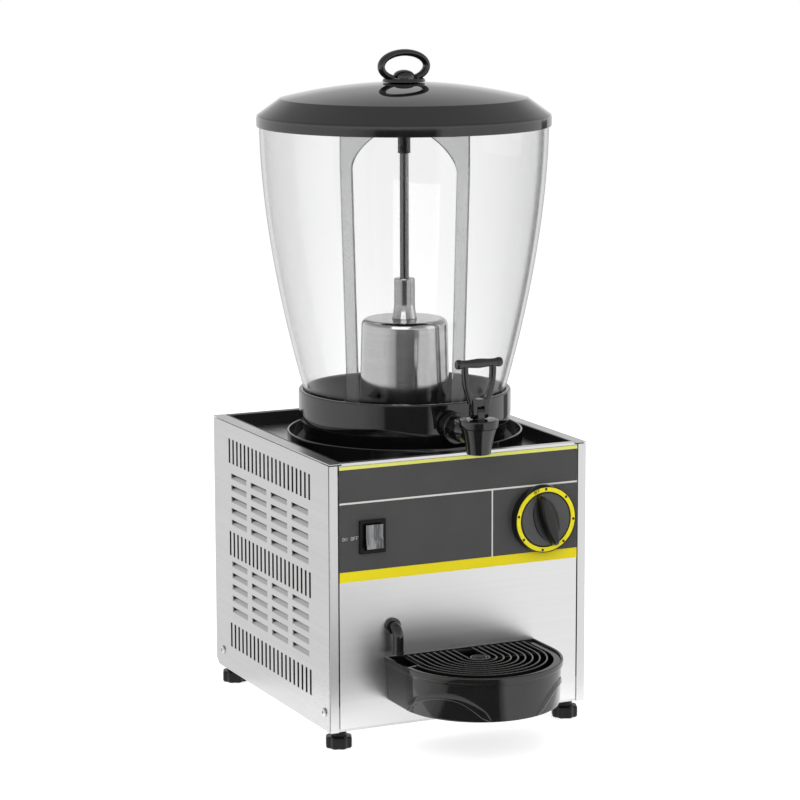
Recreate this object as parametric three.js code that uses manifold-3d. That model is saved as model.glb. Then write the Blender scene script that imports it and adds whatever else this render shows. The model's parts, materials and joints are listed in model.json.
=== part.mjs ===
// Ayran dispenser for a counter: a steel cabinet with the cooling and the stirring drive inside,
// a clear flared bowl on a black collar, a lid with a ring handle, a lever tap and a drip tray.
// Millimetres, +Z up. The origin lies on the counter under the middle of the machine.
import * as THREE from 'three';
import { mergeVertices } from 'three/addons/utils/BufferGeometryUtils.js';
import Module from 'manifold-3d';

// Fits shared by all pieces
const gap = 0.3;
const slideGap = 0.6;
const turnGap = 0.4;
const overrun = 3;

// Numbers of facets, no lengths
const bowlSides = 24;
const dialSides = 20;
const pipeSides = 12;
const smallSides = 8;
const bendSteps = 10;

// Cabinet frame and sheets
const cabinetWidth = 280;
const cabinetDepth = 300;
const cabinetHeight = 267;
const sheet = 1.2;
const sideSeam = 1.4;
const railSeam = 0.8;
const postFlange = 8.8;
const postReturn = 24;
const panelSideGap = 1.2;
const panelBottom = 3;
const railFlange = 12.4;
const railReturn = 15.8;
const ledgeDepth = 6.6;
const deckDrop = 13.8;
const deckHoleRadius = 48;
const backRecess = 2.3;
const panLip = 24;
const sideChamfer = 6;

// Trim round the sunken deck
const trimWall = 2;
const trimBackBar = 9;
const trimBackInset = 1;
const trimDrop = 0.3;

// Slots and pressed louvres of the side panels
const slotCount = 21;
const slotRows = 3;
const slotWidth = 4.4;
const slotLength = 25.8;
const slotFirstY = 48.8;
const slotBackInset = 43.2;
const slotTopInset = 30.6;
const slotFirstZ = 40;
const louvreColumns = 4;
const louvreRows = 5;
const louvreBridge = 11.6;
const louvreRowShare = 0.1242;
const louvreOpening = 5.9;
const louvreReach = 3.8;
const louvreRise = 5.6;
const louvreFrontInset = 51.85;
const louvreBackInset = 47.35;
const louvreLowShare = 0.5346;
const louvreHighShare = 1.4847;

// Vents of the back panel
const ventCount = 9;
const ventPitch = 20;
const ventWidth = 6;
const ventLength = 42;
const ventZ = 50;

// Side screws
const screwY = 15.3;
const screwBackInset = 19.5;
const screwZ = 18.2;
const screwShank = 2;
const screwHead = 4.4;
const screwHeadHeight = 2;
const screwLength = 7;

// Levelling feet
const footInsetX = 14.6;
const footFrontY = 14.4;
const footBackInset = 14.8;
const footHeight = 18;
const footRadius = 13.5;
const footLobeDepth = 1.5;
const footLobes = 8;
const footLobePoints = 3;
const footKnobHeight = 11.5;
const footNeckRadius = 8;
const footStemRadius = 4;
const footStemReach = 12;
const footBossRadius = 9;
const footBossHeight = 6;

// Printed panel film on the upper front
const filmInset = 0.2;
const filmHeight = 114.5;
const filmTopInset = 3;
const filmThickness = 0.6;
const filmGap = 0.2;

// Rocker switch
const switchSideInset = 44.2;
const switchTopInset = 73.8;
const bezelWidth = 27.5;
const bezelHeight = 33;
const bezelProud = 2.5;
const switchBodyWidth = 23.4;
const switchBodyHeight = 29.5;
const switchBodyDepth = 22;
const switchMouthDepth = 16;
const rockerWidth = 18.2;
const rockerHeight = 23.8;
const rockerProud = 8;
const rockerDip = 1.2;
const rockerBack = 4;
const rockerPivotDepth = 1;
const rockerMouthGap = 0.8;
const rockerPinRadius = 1.5;
const rockerPinReach = 1.2;
const rockerRestAngle = -0.087;

// Thermostat and its dial
const dialSideInset = 50.1;
const dialTopInset = 73.3;
const dialRadius = 34.1;
const dialFrontRadius = 33.4;
const dialDepth = 9.2;
const dialBackGap = 0.5;
const dialGrooveRadius = 28.1;
const dialGrooveWidth = 1.4;
const dialGrooveDepth = 2;
const dialWall = 3;
const dialHubRadius = 7;
const dialShaftRadius = 3;
const dialShaftReach = 12;
const dialBaseLength = 46;
const dialBaseWidth = 27;
const dialBaseHeight = 1.6;
const gripLength = 54.4;
const gripWidth = 13;
const gripHeight = 11;
const gripTaperShare = 0.72;
const gripTilt = 0.459;
const gripPoints = 4;
const shaftHoleRadius = 5;
const thermostatRadius = 17;
const thermostatDepth = 28;

// Drain nipple, hose and elbow
const drainX = -73.8;
const drainY = 49;
const nippleRadius = 5;
const nippleBore = 3.5;
const nippleReach = 14;
const hoseWall = 1.5;
const hoseGrip = 12;
const elbowRadius = 5.25;
const elbowBore = 3.4;
const elbowReach = 13.4;
const elbowZ = 101.5;
const elbowBend = 9;
const elbowEndZ = 76.6;
const elbowCollarRadius = 8;
const elbowCollarDepth = 3;
const elbowSpigot = 16;

// Drip tray
const trayArcY = -41;
const trayRimRadius = 82.5;
const trayWallRadius = 81;
const trayFootRadius = 79.5;
const trayBottom = 27;
const trayTop = 71.5;
const trayRimHeight = 6;
const trayRimStep = 1;
const trayWall = 2.5;
const trayBackGap = 0.4;
const trayArcSteps = 12;
const trayRebate = 5.4;
const studX = 45;
const studZ = 50;
const studRadius = 3;
const studReach = 7;
const studFlangeRadius = 6;

// Drip grid
const gridRibs = 9;
const gridFirstRib = 10.6;
const gridRibPitch = 7.02;
const gridRibWidth = 2;
const gridRibDepth = 4;
const gridFrameWidth = 6.2;
const gridFrameDepth = 3;
const gridDrop = 0.3;
const gridBossRadius = 8.5;
const gridSpokeWidth = 3;
const gridSpokes = 3;
const gridNotchX = 63.3;
const gridNotchY = 36;
const gridBackBar = 4;
const gridArcSteps = 8;

// Bowl, its collar, the drip ring and the seal
const dripRingFrontRoom = 7.7;
const dripRingCore = 92.3;
const dripRingDepthShare = 0.09;
const dripRingWall = 2;
const dripRingHeight = 17.7;
const dripRingHole = 60;
const dripRingFloor = 1.7;
const collarRingRoom = 11.9;
const collarHeight = 59.6;
const collarCurveTop = 36;
const collarDrop = 11.1;
const collarCurvePower = 1.36;
const collarEdge = 0.8;
const collarLedgeShare = 0.812;
const collarLedge = 3;
const collarFootWidth = 5;
const collarCurveSteps = 3;
const collarWall = 4.8;
const bowlFootGap = 0.8;
const bowlMouthRadius = 144.4;
const bowlFloorZ = 12;
const bowlHeight = 330;
const bowlFlareBottom = 57.8;
const bowlLipHeight = 6.2;
const bowlFlarePower = 1.74;
const bowlWall = 4;
const bowlCorner = 16;
const bowlHole = 52;
const bowlFlareSteps = 5;
const bowlCornerSteps = 2;
const sealLip = 3;
const sealLipHeight = 2;

// Cooling dome and the neck that guides the shaft
const domeRadius = 46.3;
const domeTopRadius = 43.4;
const domeHeight = 130.8;
const domeCorner = 6;
const domeWall = 2.2;
const domeFlangeRadius = 55;
const domeFlangeHeight = 2.5;
const domeHole = 8.4;
const neckRadius = 12.9;
const neckTopRadius = 10.6;
const neckFlare = 16;
const neckHeight = 40.7;
const neckSpigot = 4.5;
const neckSteps = 3;

// Stirrer
const shaftRadius = 4.5;
const shaftBottom = -22;
const shaftTopDrop = 13;
const hubRadius = 6.4;
const hubBottomDrop = 33;
const stirrerThickness = 4.5;
const stirrerBottom = 31;
const stirrerTopRise = 8;
const stirrerShoulderDrop = 51;
const stirrerOuterTop = 71.4;
const stirrerOuterBottom = 64.5;
const stirrerLegTop = 12.7;
const stirrerLegBottom = 12.2;
const stirrerCrownDepth = 16;
const stirrerCrownHalf = 14;
const stirrerTurn = -0.889;
const stirrerCorner = 8;
const stirrerCornerSteps = 3;
const stirrerSteps = 8;
const stirrerInnerShares = [0.32, 0.66, 0.784];

// Lid, ring handle and its cap screw
const lidSkirtWall = 2.2;
const lidSkirtDrop = 5.6;
const lidSkirtRise = 5.5;
const lidSkirtGap = 0.5;
const lidBevelWidth = 23.1;
const lidBevelRise = 22.2;
const lidDome = 15.3;
const lidWall = 3;
const lidLedge = 4.4;
const lidHole = 4.4;
const lidDomeSteps = 3;
const handleBaseRadius = 22;
const handleBaseHeight = 3.5;
const handleCentreRise = 15.7;
const handleOuterX = 27.8;
const handleOuterZ = 17;
const handleInnerX = 22;
const handleInnerZ = 10.2;
const handleDepth = 10.5;
const handleSteps = 20;
const capEdge = 2;
const capSteps = 4;
const capRadius = 10.7;
const capHeight = 8.2;
const capStemRadius = 4;
const capStemReach = 9;

// Tap
const tapY = -40;
const tapRise = 36.8;
const spoutTopRadius = 17.8;
const spoutBottomRadius = 11.9;
const spoutTop = 8.7;
const spoutBottom = -17;
const chamberRadius = 9.6;
const seatTop = -8;
const seatDrop = 3;
const outletRadius = 6.8;
const inletRadius = 12;
const inletNeckRadius = 8.2;
const inletNeckStart = 5;
const inletNeckEnd = 21;
const inletFlareEnd = 30;
const inletBore = 6;
const spoutFlarePower = 1.6;
const spoutSteps = 4;
const tailRadius = 9.6;
const tailEnd = 79.5;
const nutFront = 45;
const nutDepth = 12.2;
const nutRadius = 15.2;
const washerRadius = 14;
const washerDepth = 1.8;
const innerNutRadius = 11.5;
const innerNutGap = 1.8;
const innerNutDepth = 7.7;
const tailHoleGap = 0.7;
const bonnetRadius = 20.3;
const bonnetTop = 17;
const bonnetSpigot = 4;
const turretHalf = 3.6;
const turretRadius = 6;
const pinRise = 23;
const pinRadius = 2.2;
const pinHeadRadius = 3.4;
const pinHeadDepth = 1;
const stemRadius = 2.5;
const stemTop = 10.4;
const stemBoreRadius = 3;
const stemBoreTop = 20.2;
const discRadius = 8.8;
const discTop = -4.5;
const discNoseRadius = 6.2;
const seatClearance = 0.44;
const eyeRadius = 5.5;
const eyeWidth = 4;
const webBottom = 30.3;
const webTop = 37;
const webHalfDepth = 4.5;
const forkBottomX = 8.8;
const forkBottomZ = 35;
const forkTopX = 14.7;
const forkTopZ = 64;
const forkWidth = 5;
const forkDepth = 7;
const barRise = 71.5;
const barHalfLength = 25.5;
const barRadius = 4.6;
const barBulbRadius = 5.4;
const barBulbLength = 7;

// Drive and cooling inside the cabinet
const gearFlangeRadius = 58;
const gearFlangeHeight = 3;
const gearBodyRadius = 28;
const gearBodyHeight = 45;
const compressorX = -55;
const compressorBackInset = 95;
const compressorRadius = 56;
const compressorHeight = 138;
const compressorFoot = 3;
const compressorFootSide = 84;
const compressorPortRadius = 5.5;
const compressorPortRise = 4;
const compressorPortY = -20;
const compressorEdge = 9;
const suctionRadius = 3;
const suctionX = -34;
const suctionY = 17;
const suctionTop = 24;
const suctionRise = 22;
const fanBackInset = 135;
const fanZ = 98;
const fanRadius = 58;
const fanHubRadius = 14;
const fanHubDepth = 16;
const fanBlades = 5;
const fanBladeChord = 24;
const fanBladeThickness = 2;
const fanBladePitch = 0.56;
const motorX = 36;
const motorDepth = 30;
const motorRadius = 24;
const motorArmReach = 66;
const motorArmWidth = 4;
const motorArms = 3;
const motorShaftRadius = 3;
const fanX = 74;
const shroudX = 95.7;
const shroudThickness = 2;
const shroudHole = 61;
const condenserWidth = 140;
const condenserHeight = 168;
const condenserDepth = 30;
const condenserFins = 14;
const condenserFinDepth = 22;
const condenserFinShare = 0.45;
const drierRadius = 9;
const drierHeight = 62;
const drierNeckRadius = 3.5;
const drierNeck = 6;

// Cord gland in the back panel
const glandX = 95;
const glandZ = 40;
const glandRadius = 6.5;
const glandFlangeRadius = 9;
const glandFlange = 2;
const glandDepth = 9;
const glandBore = 3.5;

// Places worked out from the sizes above
const halfWidth = cabinetWidth / 2;
const sideInnerX = halfWidth - sheet;
const sideTop = cabinetHeight - sheet - railSeam;
const sideFront = sheet + sideSeam;
const returnOuterX = sideInnerX - turnGap;
const returnInnerX = returnOuterX - sheet;
const railInnerX = halfWidth - railFlange;
const railBottom = cabinetHeight - sheet;
const frontHalf = halfWidth - postFlange - panelSideGap;
const ledgeHalf = railInnerX - turnGap;
const deckTop = cabinetHeight - deckDrop;
const slotPitch = (cabinetDepth - slotFirstY - slotBackInset) / (slotCount - 1);
const slotRowPitch = (cabinetHeight - slotFirstZ - slotTopInset) / (slotRows - 1);
const louvreField = cabinetDepth - louvreFrontInset - louvreBackInset + louvreBridge;
const louvreColumnPitch = louvreField / louvreColumns;
const louvreLength = louvreColumnPitch - louvreBridge;
const louvreRowPitch = slotRowPitch * louvreRowShare;
const louvreLowField = slotFirstZ + slotRowPitch * louvreLowShare;
const louvreHighField = slotFirstZ + slotRowPitch * louvreHighShare;
const filmTop = cabinetHeight - filmTopInset;
const filmBottom = filmTop - filmHeight;
const switchX = switchSideInset - halfWidth;
const switchZ = cabinetHeight - switchTopInset;
const dialX = halfWidth - dialSideInset;
const dialZ = cabinetHeight - dialTopInset;
const dripRingRadius = dripRingCore + cabinetDepth * dripRingDepthShare;
const bowlAxisY = dripRingFrontRoom + dripRingRadius;
const collarRadius = dripRingRadius - collarRingRoom;
const bowlFootRadius = collarRadius - collarWall - bowlFootGap;
const sealLipRadius = bowlHole + sealLip;
const ledgeRoom = bowlFootRadius - bowlCorner - sealLipRadius;
const collarLedgeRadius = sealLipRadius + ledgeRoom * collarLedgeShare;
const bowlFlareTop = bowlHeight - bowlLipHeight;
const shaftTop = bowlHeight - shaftTopDrop;
const hubBottom = bowlHeight - hubBottomDrop;
const stirrerTop = bowlHeight + stirrerTopRise;
const stirrerShoulder = bowlHeight - stirrerShoulderDrop;
const lidRadius = bowlMouthRadius + lidSkirtGap + lidSkirtWall;
const lidSkirtBottom = bowlHeight - lidSkirtDrop;
const lidSkirtTop = bowlHeight + lidSkirtRise;
const lidBevelRadius = lidRadius - lidBevelWidth;
const lidBevelTop = bowlHeight + lidBevelRise;
const tapZ = deckTop + tapRise;
const compressorY = cabinetDepth - compressorBackInset;
const fanY = cabinetDepth - fanBackInset;
const panOuterX = returnInnerX - turnGap;
const panTop = gap + sheet;
const onPan = panTop + gap;
const backPlateBack = cabinetDepth - backRecess;
const backPlateFront = backPlateBack - sheet;
const insideBack = backPlateFront - gap;
const filmFront = -filmGap - filmThickness;
const screwBackY = cabinetDepth - screwBackInset;
const footX = halfWidth - footInsetX;
const footBackY = cabinetDepth - footBackInset;
const trayReach = trayRimRadius - trayArcY;
const trayBackY = -trayBackGap;
const gridTop = trayTop - gridDrop;
const rebateFloor = trayTop - trayRebate;
const tailInBowlZ = tapZ - deckTop;
const condenserX = shroudX + shroudThickness + gap;
const machineY = -(cabinetDepth - trayReach) / 2;
const quarterTurn = Math.PI / 2;
const fullTurn = Math.PI * 2;
const weldStep = 0.0001;

const kernel = await Module();
kernel.setup();

function point(x, y) {
  return new THREE.Vector2(x, y);
}

// Points on an arc, both ends included
function arc(centreX, centreY, radiusX, radiusY, from, to, steps) {
  const points = [];
  for (let step = 0; step <= steps; step += 1) {
    const angle = from + ((to - from) * step) / steps;
    points.push(point(centreX + radiusX * Math.cos(angle), centreY + radiusY * Math.sin(angle)));
  }
  return points;
}

function circle(centreX, centreY, radius, sides) {
  return arc(centreX, centreY, radius, radius, 0, fullTurn, sides).slice(0, sides);
}

function rectangle(left, right, bottom, top) {
  return [point(left, bottom), point(right, bottom), point(right, top), point(left, top)];
}

function signedVolume(positions, index) {
  const a = new THREE.Vector3();
  const b = new THREE.Vector3();
  const c = new THREE.Vector3();
  let total = 0;
  for (let corner = 0; corner < index.length; corner += 3) {
    a.fromArray(positions, index[corner] * 3);
    b.fromArray(positions, index[corner + 1] * 3);
    c.fromArray(positions, index[corner + 2] * 3);
    total += a.dot(b.cross(c));
  }
  return total;
}

// A closed mesh as a solid that can be joined and cut
function solidOf(geometry) {
  const loose = geometry.index ? geometry.toNonIndexed() : geometry.clone();
  loose.deleteAttribute('normal');
  loose.deleteAttribute('uv');
  const welded = mergeVertices(loose, weldStep);
  const positions = welded.attributes.position.array;
  const triangles = [];
  for (let corner = 0; corner < welded.index.count; corner += 3) {
    const [a, b, c] = welded.index.array.slice(corner, corner + 3);
    if (a !== b && b !== c && c !== a) {
      triangles.push(a, b, c);
    }
  }
  if (signedVolume(positions, triangles) < 0) {
    triangles.reverse();
  }
  return new kernel.Manifold(new kernel.Mesh({
    numProp: 3,
    vertProperties: new Float32Array(positions),
    triVerts: new Uint32Array(triangles),
  }));
}

function geometryOf(solid) {
  const mesh = solid.getMesh();
  const geometry = new THREE.BufferGeometry();
  geometry.setAttribute('position', new THREE.BufferAttribute(mesh.vertProperties, 3));
  geometry.setIndex(new THREE.BufferAttribute(mesh.triVerts, 1));
  geometry.computeVertexNormals();
  return geometry;
}

// The added shapes joined into one solid, less all the removed ones
function build(added, removed = []) {
  const whole = kernel.Manifold.union(added.map(solidOf));
  if (removed.length === 0) {
    return geometryOf(whole);
  }
  return geometryOf(whole.subtract(kernel.Manifold.union(removed.map(solidOf))));
}

// An outline given a thickness, standing in the xy, xz or yz plane
function slab(plane, outline, start, thickness) {
  const shape = new THREE.Shape(outline);
  const geometry = new THREE.ExtrudeGeometry(shape, { depth: thickness, bevelEnabled: false });
  if (plane === 'xz') {
    geometry.rotateX(quarterTurn);
    geometry.translate(0, start + thickness, 0);
  } else if (plane === 'yz') {
    geometry.rotateX(quarterTurn);
    geometry.rotateZ(quarterTurn);
    geometry.translate(start, 0, 0);
  } else {
    geometry.translate(0, 0, start);
  }
  return geometry;
}

// A slab with holes cut right through it
function plate(plane, outline, start, thickness, holes) {
  const cutters = holes.map((hole) => slab(plane, hole, start - overrun, thickness + overrun * 2));
  return build([slab(plane, outline, start, thickness)], cutters);
}

function box(left, right, front, back, bottom, top) {
  const geometry = new THREE.BoxGeometry(right - left, back - front, top - bottom);
  geometry.translate((left + right) / 2, (front + back) / 2, (bottom + top) / 2);
  return geometry;
}

// A profile of radius and height turned about the Z axis
function revolve(profile, sides) {
  const points = profile.map(([radius, height]) => point(radius, height));
  const first = points[0];
  const last = points[points.length - 1];
  if (first.x > 0 || last.x > 0) {
    points.push(first.clone());
  }
  const geometry = new THREE.LatheGeometry(points, sides);
  geometry.rotateX(quarterTurn);
  return geometry;
}

function cylinder(radius, bottom, top, sides) {
  return revolve([[0, bottom], [radius, bottom], [radius, top], [0, top]], sides);
}

function alongY(geometry) {
  geometry.rotateX(-quarterTurn);
  return geometry;
}

function alongX(geometry) {
  geometry.rotateY(quarterTurn);
  return geometry;
}

function moved(geometry, x, y, z) {
  geometry.translate(x, y, z);
  return geometry;
}

function mirrored(geometry) {
  const twin = geometry.clone();
  twin.scale(-1, 1, 1);
  return build([twin]);
}

function tube(path, radius, sides, steps) {
  const section = new THREE.Shape(circle(0, 0, radius, sides));
  return new THREE.ExtrudeGeometry(section, { steps, bevelEnabled: false, extrudePath: path });
}

// Outlines of equal point count joined in turn, with a cap on the first and on the last
function loft(rings) {
  const count = rings[0].outline.length;
  const positions = [];
  const index = [];
  for (const ring of rings) {
    for (const corner of ring.outline) {
      positions.push(corner.x, corner.y, ring.height);
    }
  }
  for (let ring = 0; ring < rings.length - 1; ring += 1) {
    for (let corner = 0; corner < count; corner += 1) {
      const next = (corner + 1) % count;
      const low = ring * count;
      const high = low + count;
      index.push(low + corner, low + next, high + next);
      index.push(low + corner, high + next, high + corner);
    }
  }
  const lastStart = (rings.length - 1) * count;
  for (const [a, b, c] of THREE.ShapeUtils.triangulateShape(rings[0].outline, [])) {
    index.push(c, b, a);
  }
  for (const [a, b, c] of THREE.ShapeUtils.triangulateShape(rings[rings.length - 1].outline, [])) {
    index.push(lastStart + a, lastStart + b, lastStart + c);
  }
  const geometry = new THREE.BufferGeometry();
  geometry.setAttribute('position', new THREE.Float32BufferAttribute(positions, 3));
  geometry.setIndex(index);
  return geometry;
}

function finish(color, roughness, metalness) {
  return new THREE.MeshStandardMaterial({ color, roughness, metalness });
}

const brushedSteel = finish(0xc9cbcc, 0.35, 0.9);
const paintedSteel = finish(0xe3e4e2, 0.45, 0.1);
const darkFilm = finish(0x4a4a4a, 0.5, 0);
const blackPlastic = finish(0x121212, 0.3, 0);
const greyPlastic = finish(0x7b7d80, 0.45, 0);
const clearPlastic = new THREE.MeshStandardMaterial({ color: 0xdfe8ea, roughness: 0.08, metalness: 0 });
clearPlastic.transparent = true;
clearPlastic.opacity = 0.35;
const rubber = finish(0x1b1b1b, 0.8, 0);
const coolSteel = finish(0xb9bdc0, 0.3, 0.9);
const darkPaint = finish(0x202326, 0.5, 0.3);

function add(group, name, geometry, material) {
  const mesh = new THREE.Mesh(geometry, material);
  mesh.name = name;
  group.add(mesh);
  return mesh;
}

// Base pan: a floor with lips on four sides and a threaded boss for each foot
function basePan() {
  const lipTop = panTop + panLip;
  const added = [
    box(-panOuterX, panOuterX, sheet + gap, insideBack, gap, panTop),
    box(-panOuterX, panOuterX, sheet + gap, sheet + gap + sheet, gap, lipTop),
    box(-panOuterX, panOuterX, insideBack - sheet, insideBack, gap, lipTop),
    box(-panOuterX, -panOuterX + sheet, sheet + gap, insideBack, gap, lipTop),
    box(panOuterX - sheet, panOuterX, sheet + gap, insideBack, gap, lipTop),
  ];
  const removed = [];
  for (const x of [-footX, footX]) {
    for (const y of [footFrontY, footBackY]) {
      added.push(moved(cylinder(footBossRadius, gap, panTop + footBossHeight, smallSides), x, y, 0));
      const bore = footStemRadius + turnGap;
      removed.push(moved(cylinder(bore, -overrun, footStemReach + overrun, smallSides), x, y, 0));
    }
  }
  for (const y of [screwY, screwBackY]) {
    const across = cylinder(screwShank + gap, -halfWidth, halfWidth, smallSides);
    removed.push(moved(alongX(across), 0, y, screwZ));
  }
  return build(added, removed);
}

function frontPanel() {
  const outline = [
    point(-frontHalf, panelBottom),
    point(frontHalf, panelBottom),
    point(frontHalf, sideTop),
    point(ledgeHalf, sideTop),
    point(ledgeHalf, cabinetHeight),
    point(-ledgeHalf, cabinetHeight),
    point(-ledgeHalf, sideTop),
    point(-frontHalf, sideTop),
  ];
  const bodyHalfX = switchBodyWidth / 2 + gap;
  const bodyHalfZ = switchBodyHeight / 2 + gap;
  const holes = [
    rectangle(switchX - bodyHalfX, switchX + bodyHalfX, switchZ - bodyHalfZ, switchZ + bodyHalfZ),
    circle(dialX, dialZ, shaftHoleRadius, smallSides),
    circle(drainX, elbowZ, elbowRadius + turnGap, smallSides),
    circle(-studX, studZ, studRadius + gap, smallSides),
    circle(studX, studZ, studRadius + gap, smallSides),
  ];
  const ledge = box(-ledgeHalf, ledgeHalf, 0, ledgeDepth, cabinetHeight - sheet, cabinetHeight);
  return build([plate('xz', outline, 0, sheet, holes), ledge]);
}

// Side panel in its own frame: the inner face lies at x = 0, the outer face at x = sheet
function sidePanel() {
  const outline = [
    point(sideFront, 0),
    point(cabinetDepth - sideChamfer, 0),
    point(cabinetDepth, sideChamfer),
    point(cabinetDepth, sideTop),
    point(sideFront, sideTop),
  ];
  const holes = [
    circle(screwY, screwZ, screwShank + gap, smallSides),
    circle(screwBackY, screwZ, screwShank + gap, smallSides),
  ];
  for (let row = 0; row < slotRows; row += 1) {
    const z = slotFirstZ + row * slotRowPitch;
    for (let column = 0; column < slotCount; column += 1) {
      const y = slotFirstY + column * slotPitch;
      holes.push(rectangle(y - slotWidth / 2, y + slotWidth / 2, z - slotLength / 2, z + slotLength / 2));
    }
  }
  const flaps = [];
  for (const fieldZ of [louvreLowField, louvreHighField]) {
    for (let row = 0; row < louvreRows; row += 1) {
      const z = fieldZ + (row - (louvreRows - 1) / 2) * louvreRowPitch;
      for (let column = 0; column < louvreColumns; column += 1) {
        const start = louvreFrontInset + column * louvreColumnPitch;
        const bottom = z - louvreOpening / 2;
        holes.push(rectangle(start, start + louvreLength, bottom, z + louvreOpening / 2));
        flaps.push(louvreFlap(start, bottom));
      }
    }
  }
  return build([plate('yz', outline, 0, sheet, holes), ...flaps]);
}

// Flap pressed in from the panel: it starts in the lower edge of its opening and leans inward
function louvreFlap(start, bottom) {
  const section = [
    point(sheet, bottom),
    point(-louvreReach, bottom + louvreRise),
    point(0, bottom - sheet),
  ];
  return slab('xz', section, start, louvreLength);
}

function cornerPost() {
  const flange = box(halfWidth - postFlange, halfWidth, 0, sheet, 0, sideTop);
  const back = box(returnInnerX, returnOuterX, 0, postReturn, 0, railBottom - railReturn - gap);
  const hole = alongX(cylinder(screwShank + gap, returnInnerX - overrun, halfWidth + overrun, smallSides));
  moved(hole, 0, screwY, screwZ);
  return build([flange, back], [hole]);
}

function topRail() {
  const flange = box(railInnerX, halfWidth, 0, cabinetDepth, railBottom, cabinetHeight);
  const start = postReturn + gap;
  const back = box(returnInnerX, returnOuterX, start, insideBack, railBottom - railReturn, cabinetHeight);
  return build([flange, back]);
}

function deckPlate() {
  const half = returnInnerX - gap;
  const outline = rectangle(-half, half, sheet + gap, insideBack);
  const holes = [
    circle(0, bowlAxisY, deckHoleRadius, dialSides),
    circle(drainX, drainY, nippleRadius + turnGap, smallSides),
  ];
  return plate('xy', outline, deckTop - sheet, sheet, holes);
}

// Black trim on three sides of the sunken deck
function wellTrim() {
  const outer = railInnerX - gap;
  const inner = outer - trimWall;
  const front = ledgeDepth + turnGap;
  const back = cabinetDepth - trimBackInset;
  const outline = [
    point(-outer, front),
    point(-inner, front),
    point(-inner, back - trimBackBar),
    point(inner, back - trimBackBar),
    point(inner, front),
    point(outer, front),
    point(outer, back),
    point(-outer, back),
  ];
  const bottom = deckTop + trimDrop;
  return slab('xy', outline, bottom, cabinetHeight - bottom);
}

function backPanel() {
  const holes = [circle(glandX, glandZ, glandRadius + gap, smallSides)];
  for (let column = 0; column < ventCount; column += 1) {
    const x = (column - (ventCount - 1) / 2) * ventPitch;
    const z = ventZ - ventLength / 2;
    holes.push(rectangle(x - ventWidth / 2, x + ventWidth / 2, z, z + ventLength));
  }
  const half = sideInnerX - gap;
  return plate('xz', rectangle(-half, half, panelBottom, deckTop), backPlateFront, sheet, holes);
}

function sideScrew() {
  const head = [
    [0, -screwLength],
    [screwShank, -screwLength],
    [screwShank, gap],
    [screwHead, gap],
    [screwHead, gap + screwHeadHeight / 2],
    [screwHead - screwHeadHeight / 2, gap + screwHeadHeight],
    [0, gap + screwHeadHeight],
  ];
  return build([alongX(revolve(head, smallSides))]);
}

// Levelling foot: a lobed knob to turn by hand, a neck and a threaded stem
function levellingFoot() {
  const outline = [];
  const count = footLobes * footLobePoints;
  for (let step = 0; step < count; step += 1) {
    const angle = (fullTurn * step) / count;
    const dip = (1 - Math.cos(footLobes * angle)) / 2;
    const radius = footRadius - footLobeDepth * dip;
    outline.push(point(radius * Math.cos(angle), radius * Math.sin(angle)));
  }
  const knob = slab('xy', outline, -footHeight, footKnobHeight);
  const neck = cylinder(footNeckRadius, -footHeight + footKnobHeight / 2, 0, smallSides);
  const stem = cylinder(footStemRadius, -footHeight + footKnobHeight / 2, footStemReach, smallSides);
  return build([knob, neck, stem]);
}

function frontFilm() {
  const half = frontHalf - filmInset;
  const bodyHalfX = switchBodyWidth / 2 + gap;
  const bodyHalfZ = switchBodyHeight / 2 + gap;
  const holes = [
    rectangle(switchX - bodyHalfX, switchX + bodyHalfX, switchZ - bodyHalfZ, switchZ + bodyHalfZ),
    circle(dialX, dialZ, shaftHoleRadius, smallSides),
  ];
  return plate('xz', rectangle(-half, half, filmBottom, filmTop), filmFront, filmThickness, holes);
}

// Switch housing in its own frame: y = 0 is the front of the film
function switchBezel() {
  const flange = rectangle(-bezelWidth / 2, bezelWidth / 2, -bezelHeight / 2, bezelHeight / 2);
  const bodyHalfX = switchBodyWidth / 2;
  const bodyHalfZ = switchBodyHeight / 2;
  const front = -gap - bezelProud;
  const back = switchBodyDepth;
  const mouthX = rockerWidth / 2 + gap;
  const mouthZ = rockerHeight / 2 + rockerMouthGap;
  const pinReach = mouthX + rockerPinReach + gap;
  const pinHole = alongX(cylinder(rockerPinRadius + gap, -pinReach, pinReach, smallSides));
  return build(
    [
      slab('xz', flange, front, bezelProud),
      box(-bodyHalfX, bodyHalfX, front, back, -bodyHalfZ, bodyHalfZ),
    ],
    [
      box(-mouthX, mouthX, front - overrun, switchMouthDepth, -mouthZ, mouthZ),
      moved(pinHole, 0, rockerPivotDepth, 0),
    ],
  );
}

// Rocker in its own frame: the pivot runs along X through the origin
function switchRocker() {
  const front = -rockerProud - rockerPivotDepth;
  const half = rockerHeight / 2;
  const outline = [
    point(front, -half),
    point(front + rockerDip, 0),
    point(front, half),
    point(0, half),
    point(rockerBack, half - rockerBack / 2),
    point(rockerBack, rockerBack / 2 - half),
    point(0, -half),
  ];
  const body = slab('yz', outline, -rockerWidth / 2, rockerWidth);
  const reach = rockerWidth / 2 + rockerPinReach;
  return build([body, alongX(cylinder(rockerPinRadius, -reach, reach, smallSides))]);
}

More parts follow.
